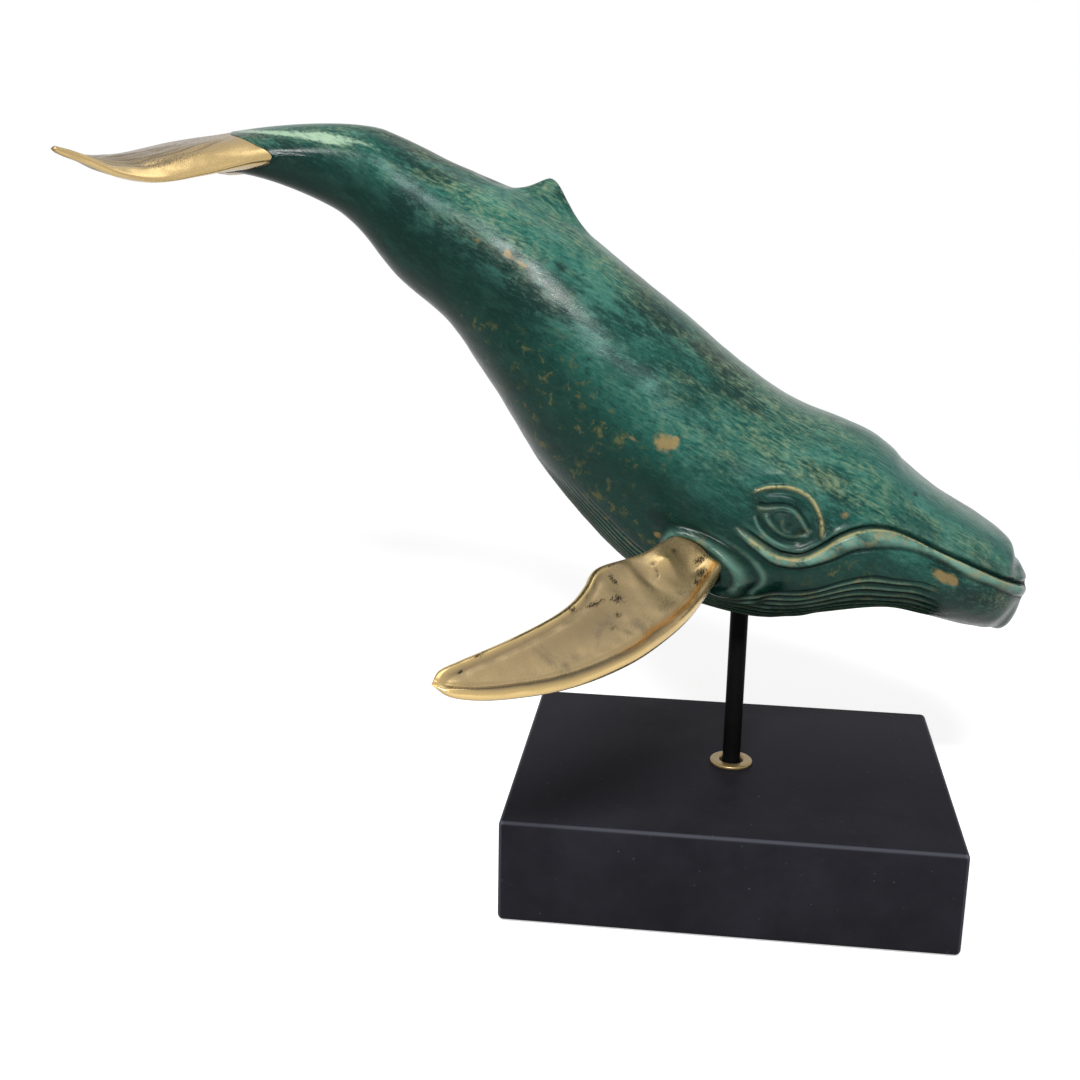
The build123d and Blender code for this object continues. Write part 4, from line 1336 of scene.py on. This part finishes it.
@dataclass
class Flipper:
    """A polished flipper: a dished blade with a rolled leading edge and a knuckle behind."""

    side: Side
    span: float = 160.0
    thickness: float = 11.0
    sweep: float = 32.5
    droop: float = 4.1
    pitch: float = 34.5
    root: tuple[float, float, float] = (-18.3, -43.7, 157.0)
    pitting: float = 0.12
    cluster_pitting: float = 0.53
    upper_waves: Waves = ((0.14, 20.0, 31), (0.03, 7.0, 32))
    lower_waves: Waves = ((0.15, 24.0, 33),)

    # Edges and thickness from the root to the tip, and the profiles of both faces
    lead = (
        (-9.0, 10.5), (0.0, 12.0), (19.0, 18.0), (36.0, 22.6), (54.0, 25.4), (75.0, 27.0), (98.0, 26.0),
        (117.0, 23.0), (134.0, 18.1), (145.0, 14.0), (153.0, 9.8), (157.5, 5.8), (160.0, 0.3),
    )
    trail = (
        (-9.0, -12.0), (0.0, -12.3), (14.0, -12.3), (26.0, -11.4), (38.0, -12.2), (50.0, -13.6),
        (56.0, -13.6), (61.0, -12.3), (68.0, -9.0), (80.0, -5.2), (93.0, -3.4), (112.0, -2.8), (128.0, -3.0),
        (145.0, -3.6), (154.0, -3.4), (160.0, -0.3),
    )
    thick = (
        (-0.056, 0.95), (0.0, 1.0), (0.11, 0.98), (0.22, 0.90), (0.34, 0.86), (0.41, 0.80), (0.50, 0.72),
        (0.61, 0.64), (0.73, 0.57), (0.84, 0.52), (0.93, 0.44), (0.98, 0.30), (1.0, 0.04),
    )
    face_knots = (0.0, 0.04, 0.20, 0.42, 0.64, 0.82, 0.93, 1.0)
    upper_shares = (0.0, 0.20, 0.24, 0.20, 0.24, 0.38, 0.34, 0.0)
    lower_shares = (0.0, -0.20, -0.38, -0.50, -0.55, -0.52, -0.38, 0.0)
    # Swellings and hollows of the upper face: along the span, along the chord, their two
    # half widths and the rise
    swellings = (
        (1.5, 2.0, 9.5, 13.0, 3.4), (24.5, -2.5, 7.2, 6.2, 3.0), (33.5, 2.5, 3.4, 4.0, 0.5),
        (12.5, -8.0, 7.0, 4.0, 0.5), (22.0, -10.5, 6.0, 3.0, 0.8), (38.5, -2.0, 3.4, 8.0, -0.8),
        (51.0, -4.0, 10.0, 5.0, -0.8), (48.0, -10.8, 5.0, 2.0, 0.6), (14.0, 6.5, 9.0, 3.0, -0.7),
        (66.0, 5.0, 20.0, 8.0, -0.6), (84.0, 4.0, 26.0, 3.0, 0.3), (108.0, 10.0, 26.0, 6.0, -0.35),
    )
    # Clusters of casting pits on the upper face: the same places and half widths
    pit_clusters = (
        (8.0, 3.5, 5.0, 2.0), (13.0, 9.0, 5.0, 3.0), (19.5, 11.5, 3.0, 2.0), (16.0, -5.0, 3.5, 1.4),
        (49.5, -11.4, 3.8, 0.7), (54.0, -6.0, 2.0, 4.0), (60.0, 2.0, 4.0, 3.0), (72.0, 0.0, 7.0, 1.4),
        (66.0, 8.0, 2.6, 1.6), (74.0, 12.0, 3.0, 1.0), (84.0, -1.6, 2.4, 1.6), (136.0, -1.6, 3.0, 1.0),
        (147.0, 0.5, 2.0, 0.9),
    )
    crack = Stroke(((30.0, -6.0), (31.5, -3.0), (32.5, 0.0), (35.0, 2.5)), -0.5, 0.35)

    def axes(self) -> tuple[Vector, Vector, Vector]:
        """Works out how the flipper lies in the frame.

        Returns:
            Directions along the span, to the leading edge, and out of the upper face.
        """
        sweep, droop, pitch = (math.radians(angle) for angle in (self.sweep, self.droop, self.pitch))
        level = math.cos(droop)
        span = Vector((-math.sin(sweep) * level, -math.cos(sweep) * level, -math.sin(droop)))
        ahead = Vector((math.cos(sweep), -math.sin(sweep), 0))
        chord = ahead * math.cos(pitch) - span.cross(ahead) * math.sin(pitch)
        return span, chord, span.cross(chord)

    def build(self, brass: bpy.types.Material) -> bpy.types.Object:
        """Builds the flipper in its own plan, then sets it on its side of the whale.

        Args:
            brass: Its finish.

        Returns:
            The blade.
        """
        start, end = self.lead[0][0], self.span
        along = start + (end - start) * np.sin(np.linspace(0, 1, 231) * math.pi / 2)[:, None] ** 0.96
        lead, trail = (smooth_at(*zip(*edge), along) for edge in (self.lead, self.trail))
        turn = np.linspace(0, math.tau, 161)[None, :]
        share = (1 - np.cos(turn)) / 2
        upper = np.sin(turn) >= 0
        faces = (self.upper_shares, self.lower_shares)
        faces = [smooth_at(arc(self.face_knots), table, arc(share)) for table in faces]
        chord = trail + (lead - trail) * share
        level = self.thickness * smooth_at(*zip(*self.thick), along / self.span) * np.where(upper, *faces)
        grid = np.stack([along + 0 * chord, chord, level], axis=-1)
        rise, marks = self.relief(along, chord, lead, trail)
        rise += ripple(grid, self.upper_waves)
        edge = smooth_step(share * 14) * smooth_step((1 - share) * 20)
        taper = smooth_step((self.span - along) / 10)
        level = level + np.where(upper, rise, ripple(grid, self.lower_waves)) * edge * taper
        span_way, chord_way, out_way = (np.array(way) for way in self.axes())
        rows = np.array(self.root) + (
            along[..., None] * span_way + chord[..., None] * chord_way + level[..., None] * out_way
        )
        rows = np.concatenate([np.repeat(rows[:1].mean(axis=1, keepdims=True), rows.shape[1], axis=1), rows])
        rows[-1] = rows[-1].mean(axis=0)
        rows[..., 1] *= -self.side.value
        masks = {
            key: np.concatenate([values[:1], values]) * np.where(upper, 1, 0.3)
            for key, values in marks.items()
        }
        name = f"{self.side.name.lower()}_flipper"
        piece = grid_piece(f"{name}_blade", rows, masks)
        seat(piece, brass, WHALE_BODY, name)
        return piece

    def relief(
        self, along: np.ndarray, chord: np.ndarray, lead: np.ndarray, trail: np.ndarray
    ) -> tuple[np.ndarray, dict[str, np.ndarray]]:
        """Rise of the upper face, and the marks that the finish reads.

        Args:
            along: Distances along the span.
            chord: Distances towards the leading edge.
            lead: The leading edge at each row.
            trail: The trailing edge at each row.

        Returns:
            The rise, and how strong pits, creases with a painted shade line, heat tint, polish with
            painted highlights and film with painted dark reflection are at each place.
        """
        to_lead, to_trail = lead - chord, chord - trail
        body = smooth_step((along - 4) / 12)
        beyond = smooth_step((along - 46) / 14)
        rise = (0.55 * bell(to_lead - 2.4, 1.5) - 0.55 * bell(to_lead - 5.4, 1.2)) * body
        rise = rise + (0.5 * bell(to_trail - 1.9, 1.3) - 0.45 * bell(to_trail - 4.6, 1.5)) * beyond
        for swelling in self.swellings:
            rise = rise + swelling[4] * spot(along, chord, swelling)
        split = self.crack.carve(along + 0 * chord, chord)
        rise = rise + self.crack.rise * split
        wander = 0.5 * np.sin(along / 7.3) + 0.3 * np.sin(along / 3.1 + 1)
        heated = smooth_step((92 - along) / 26) * smooth_step((along + 2) / 6)
        amber = bell(to_lead - 4.7 - wander, 1.15) * heated
        seam = bell(to_lead - 3.5 - wander, 0.35) * smooth_step((150 - along) / 30)
        # Painted shade: a dark line just behind the rolled leading edge
        painted_shade = bell(to_lead - 3.2, 1.0) * smooth_step((along - 60) / 20) * smooth_step((156 - along) / 14)
        pits = self.pitting + 0 * rise
        for cluster in self.pit_clusters:
            pits = np.maximum(pits, self.cluster_pitting * spot(along, chord, cluster, 1.25))
        # Polish: brighter rims, with painted highlights on the boss, by the root and at the tip. Film: darker
        # hollows and bands, partly painted dark reflection
        rims = np.maximum(bell(to_lead - 0.9, 1.3) * body, bell(to_trail - 1.3, 1.5) * beyond)
        hollow = bell(to_lead - 3.4, 1.1) * smooth_step((along - 40) / 20)
        bright, dull = (
            np.maximum.reduce([strength * place + 0 * rise for strength, place in places])
            for places in (
                (
                    (0.9, rims), (0.7, spot(along, chord, (25.0, -4.0, 5.0, 4.0))),
                    (0.6, spot(along, chord, (8.0, 6.0, 6.0, 7.0))), (0.5, smooth_step((along - 148) / 9)),
                ),
                (
                    (0.75, hollow), (0.6, spot(along, chord, (39.0, -2.0, 3.4, 8.0))),
                    (0.45, spot(along, chord, (78.0, 7.0, 30.0, 7.0))),
                    (0.5, spot(along, chord, (16.5, -1.0, 2.5, 8.0))),
                    (0.5, bell(to_trail - 4.4, 1.4) * beyond),
                ),
            )
        )
        groove = np.maximum.reduce([0.5 * seam, 0.55 * painted_shade, split])
        return rise, {"pits": pits, "groove": groove, "amber": amber, "polish": bright, "film_and_dark_reflection": dull}


# The stand


@dataclass
class Stand:
    """The painted block with its rod, brass ring and felt."""

    length: float = 192.0
    width: float = 153.0
    top: float = 47.0
    felt: float = 1.0
    edge_radius: float = 2.5
    rod_radius: float = 4.0
    rod_end_radius: float = 3.0
    rod_shoulder: float = 20.0
    rod_top: float = 147.7
    rod_bottom: float = 4.9
    rod_chamfer: float = 0.5
    thread_top: float = 13.0
    thread_pitch: float = 1.0
    thread_depth: float = 0.55
    ring_radius: float = 9.65
    ring_hole: float = 5.2
    ring_thickness: float = 2.0
    neck_radius: float = 6.0
    neck_length: float = 8.0
    counterbore_radius: float = 12.0
    counterbore_top: float = 13.0
    wood_clearance: float = 0.2

    def block(self, paint: bpy.types.Material) -> bpy.types.Object:
        """Builds the block with eased edges and its stepped hole.

        Args:
            paint: Its finish.

        Returns:
            The block.
        """
        bpy.ops.object.select_all(action="DESELECT")
        bpy.ops.mesh.primitive_cube_add(size=1, location=(0, 0, 0))
        piece = named("base_block_painted")
        tall = self.top - self.felt
        bpy.ops.object.mode_set(mode="EDIT")
        bpy.ops.mesh.select_all(action="SELECT")
        bpy.ops.transform.resize(value=(self.length * MM, self.width * MM, tall * MM))
        bpy.ops.transform.translate(value=(0, 0, (self.felt + tall / 2) * MM))
        bpy.ops.mesh.bevel(offset=self.edge_radius * MM, segments=5, profile=0.5, affect="EDGES")
        bpy.ops.object.mode_set(mode="OBJECT")
        for radius, low, high in (
            (self.counterbore_radius, -self.felt, self.counterbore_top),
            (self.neck_radius, self.top - self.neck_length, self.top + self.felt),
            (self.rod_radius + self.wood_clearance, self.rod_shoulder, self.top),
            (
                self.rod_end_radius + self.wood_clearance, self.counterbore_top - self.felt,
                self.rod_shoulder + self.felt,
            ),
        ):
            cut_round(piece, radius, low, high)
        bpy.ops.object.shade_smooth_by_angle(angle=math.radians(40))
        # Painted highlight along the top edges and upright corners, for the paint to read
        keep_masks(piece, {"rub": self.edge_highlight_shares(piece)})
        seat(piece, paint, STAND_BODY, "base_block")
        return piece

    def edge_highlight_shares(self, piece: bpy.types.Object) -> np.ndarray:
        """Works out the painted highlight along the block's top edges and upright corners.

        Args:
            piece: The block.

        Returns:
            How strong the painted highlight is at each point.
        """
        places = np.empty(len(piece.data.vertices) * 3, np.float32)
        piece.data.vertices.foreach_get("co", places)
        places = places.reshape(-1, 3) / MM
        half = np.array([self.length / 2, self.width / 2])
        inwards = np.column_stack([half - np.abs(places[:, :2]), self.top - places[:, 2]]) / self.edge_radius
        first, second = np.sort(inwards, axis=1)[:, :2].T
        return smooth_step((first - 0.1) / 0.2) * smooth_step((0.75 - second) / 0.3)

    def rod(self, paint: bpy.types.Material) -> bpy.types.Object:
        """Builds the rod with its turned-down, threaded foot.

        Args:
            paint: Its finish.

        Returns:
            The rod.
        """
        end, low = self.rod_end_radius, self.rod_bottom + self.rod_chamfer
        profile = [(0, self.rod_bottom), (end - self.rod_chamfer, self.rod_bottom)]
        for turn in range(round((self.thread_top - low) / self.thread_pitch)):
            crest = low + turn * self.thread_pitch
            profile += [(end, crest), (end - self.thread_depth, crest + self.thread_pitch / 2)]
        profile += [
            (end, self.thread_top), (end, self.rod_shoulder), (self.rod_radius, self.rod_shoulder),
            (self.rod_radius, self.rod_top - self.rod_chamfer),
            (self.rod_radius - self.rod_chamfer, self.rod_top), (0, self.rod_top),
        ]
        piece = turned_piece("support_rod_painted", profile)
        seat(piece, paint, STAND_BODY, "support_rod")
        return piece

    def ring(self, brass: bpy.types.Material) -> bpy.types.Object:
        """Builds the eyelet ring with its round flange.

        Args:
            brass: Its finish.

        Returns:
            The ring.
        """
        half = self.ring_thickness / 2
        seat_height = self.top - self.neck_length
        neck = self.neck_radius
        profile = [(self.ring_hole, seat_height), (neck, seat_height), (neck, self.top)]
        for radius, first, steps in ((self.ring_radius - half, -90, 13), (self.ring_hole + half, 90, 7)):
            for i in range(steps):
                turn = math.radians(first + 15 * i)
                profile.append((radius + half * math.cos(turn), self.top + half + half * math.sin(turn)))
        piece = turned_piece("rod_ring_eyelet", profile, 128)
        points = len(piece.data.vertices)
        wear = (("pits", 0.2), ("polish", 0.1), ("film_and_dark_reflection", 0.3))
        keep_masks(piece, {key: np.full(points, value) for key, value in wear})
        seat(piece, brass, STAND_BODY, "rod_ring")
        return piece


# Studio


def seen_directly(tree: bpy.types.NodeTree, *rays: str) -> bpy.types.Node:
    """Tells the rays that the eye sees from those that only light the scene.

    Args:
        tree: The material's or world's node tree.
        *rays: Kinds of ray that count besides the camera's and reflections.

    Returns:
        A node that gives one for such a ray.
    """
    path = node(tree, "LightPath")
    seen = path.outputs["Is Camera Ray"]
    for ray in ("Is Glossy Ray", *rays):
        seen = node(tree, "Math", {0: seen, 1: path.outputs[ray]}, operation="MAXIMUM")
    return seen


@dataclass
class Studio:
    """Plain soft studio with a pale floor, and the camera at the photograph's angle."""

    camera_place: tuple[float, float, float] = (-14.06, -640.87, 326.9)
    camera_yaw: float = -6.74
    camera_pitch: float = 15.52
    camera_roll: float = 1.13
    lens: float = 50.1
    sensor: float = 36.0
    target: tuple[float, float, float] = (-0.04, 0, 0.2)
    floor_size: float = 3.0
    floor_glow: float = 0.6
    world_strength: float = 0.3

    def camera(self) -> None:
        """Creates the camera."""
        yaw, pitch, roll = (math.radians(a) for a in (self.camera_yaw, self.camera_pitch, self.camera_roll))
        ahead = Vector((math.sin(yaw) * math.cos(pitch), math.cos(yaw) * math.cos(pitch), -math.sin(pitch)))
        right = Vector((math.cos(yaw), -math.sin(yaw), 0))
        up = right.cross(ahead)
        right, up = right * math.cos(roll) + up * math.sin(roll), up * math.cos(roll) - right * math.sin(roll)
        data = bpy.data.cameras.new("camera")
        data.lens, data.sensor_width, data.clip_start = self.lens, self.sensor, 0.01
        camera = bpy.data.objects.new("camera", data)
        turn = Matrix((right, up, -ahead)).transposed().to_4x4()
        camera.matrix_world = Matrix.Translation(Vector(self.camera_place) * MM) @ turn
        bpy.context.scene.collection.objects.link(camera)
        bpy.context.scene.camera = camera

    def lamp(self, name: str, place: tuple, size: tuple, power: float) -> None:
        """Adds one soft box that faces the whale.

        Args:
            name: Its name.
            place: Where it stands, in metres.
            size: Its width and height.
            power: Its power in watts.
        """
        data = bpy.data.lights.new(name, "AREA")
        data.shape, data.energy = "RECTANGLE", power
        data.size, data.size_y = size
        lamp = bpy.data.objects.new(name, data)
        lamp.location = place
        lamp.rotation_euler = (Vector(self.target) - Vector(place)).to_track_quat("-Z", "Y").to_euler()
        bpy.context.scene.collection.objects.link(lamp)

    def floor_material(self) -> bpy.types.Material:
        """Builds the pale floor, which keeps the shadow and melts into the white round it.

        Returns:
            The material.
        """
        art = Shading("pale_studio_floor")
        seen = seen_directly(art.tree)
        tones = {6: (0.35, 0.35, 0.35, 1), 7: (0.8, 0.8, 0.8, 1)}
        pale = node(art.tree, "Mix", {0: seen, **tones}, data_type="RGBA")
        away = node(art.tree, "VectorMath", {0: art.place}, operation="LENGTH").outputs["Value"]
        clear = node(art.tree, "BsdfTransparent")
        blend = node(art.tree, "MixShader", {0: art.cut(away, 0.35, 1.2), 1: art.shader, 2: clear})
        join(art.tree, art.tree.nodes["Material Output"], {"Surface": blend})
        return art.finished({
            "Base Color": pale.outputs[2],
            "Roughness": 0.9,
            "Specular IOR Level": 0.0,
            "Emission Color": (1, 1, 1, 1),
            "Emission Strength": art.times(seen, self.floor_glow),
        })

    def build(self) -> None:
        """Builds floor, world, lamps and camera."""
        scene = bpy.context.scene
        scene.view_settings.view_transform = "Standard"
        scene.world = bpy.data.worlds.new("studio")
        scene.world.use_nodes = True
        tree = scene.world.node_tree
        seen = seen_directly(tree, "Is Transmission Ray")
        strength = node(tree, "MapRange", {0: seen, 3: self.world_strength, 4: 1.0})
        join(tree, tree.nodes["Background"], {"Strength": strength, "Color": (1, 1, 1, 1)})
        bpy.ops.object.select_all(action="DESELECT")
        bpy.ops.mesh.primitive_plane_add(size=self.floor_size, location=(0, 0, 0))
        floor = bpy.context.object
        floor.name = "studio_floor"
        dress(floor, self.floor_material())
        self.lamp("key_box", (-0.10, -0.95, 0.88), (0.38, 0.13), 18)
        self.lamp("top_box", (0.10, 0.25, 1.25), (0.6, 0.5), 2.0)
        self.camera()


def main() -> None:
    """Builds every piece in order, then the studio."""
    logging.basicConfig(level=logging.INFO, format="%(name)s: %(message)s")
    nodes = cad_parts
    patina = PatinaFinish(WhaleCasting.dive_angle).build()
    brass = BrassFinish("buffed_cast_brass").build()
    aged = BrassFinish(
        "aged_turned_brass", metal="#8f7a50", warm="#7f6238", tarnish="#57492f", roughness=0.3
    ).build()
    rod_paint = BlackFinish("satin_black_on_steel", "#0a0a0b", "#3a3a3c", 0.34, dust=0.9).build()
    wood_paint = BlackFinish(
        "satin_black_on_wood", "#1d1d22", "#5a5a64", 0.5,
        grain_length=22.0, grain_width=0.9, grain_strength=0.16,
    ).build()
    felt = BlackFinish(
        "pressed_black_felt", "#101012", "#2c2c30", 0.95, grain_width=0.4, grain_strength=0.8
    ).build()
    zinc = BrassFinish(
        "zinc_plated_steel", metal="#a9adb0", warm="#b3b0a4", tarnish="#7d8184", roughness=0.28, pit_size=0.8
    ).build()
    WhaleCasting().build(patina)
    TailFluke().build(brass)
    for side in Side:
        Flipper(side).build(brass)
    stand = Stand()
    stand.block(wood_paint)
    stand.rod(rod_paint)
    stand.ring(aged)
    for name, finish in (
        ("rod_socket", patina), ("base_washer", zinc), ("base_nut", zinc), ("base_felt", felt)
    ):
        dress(nodes[name], finish)
    Studio().build()


if __name__ == "__main__":
    main()
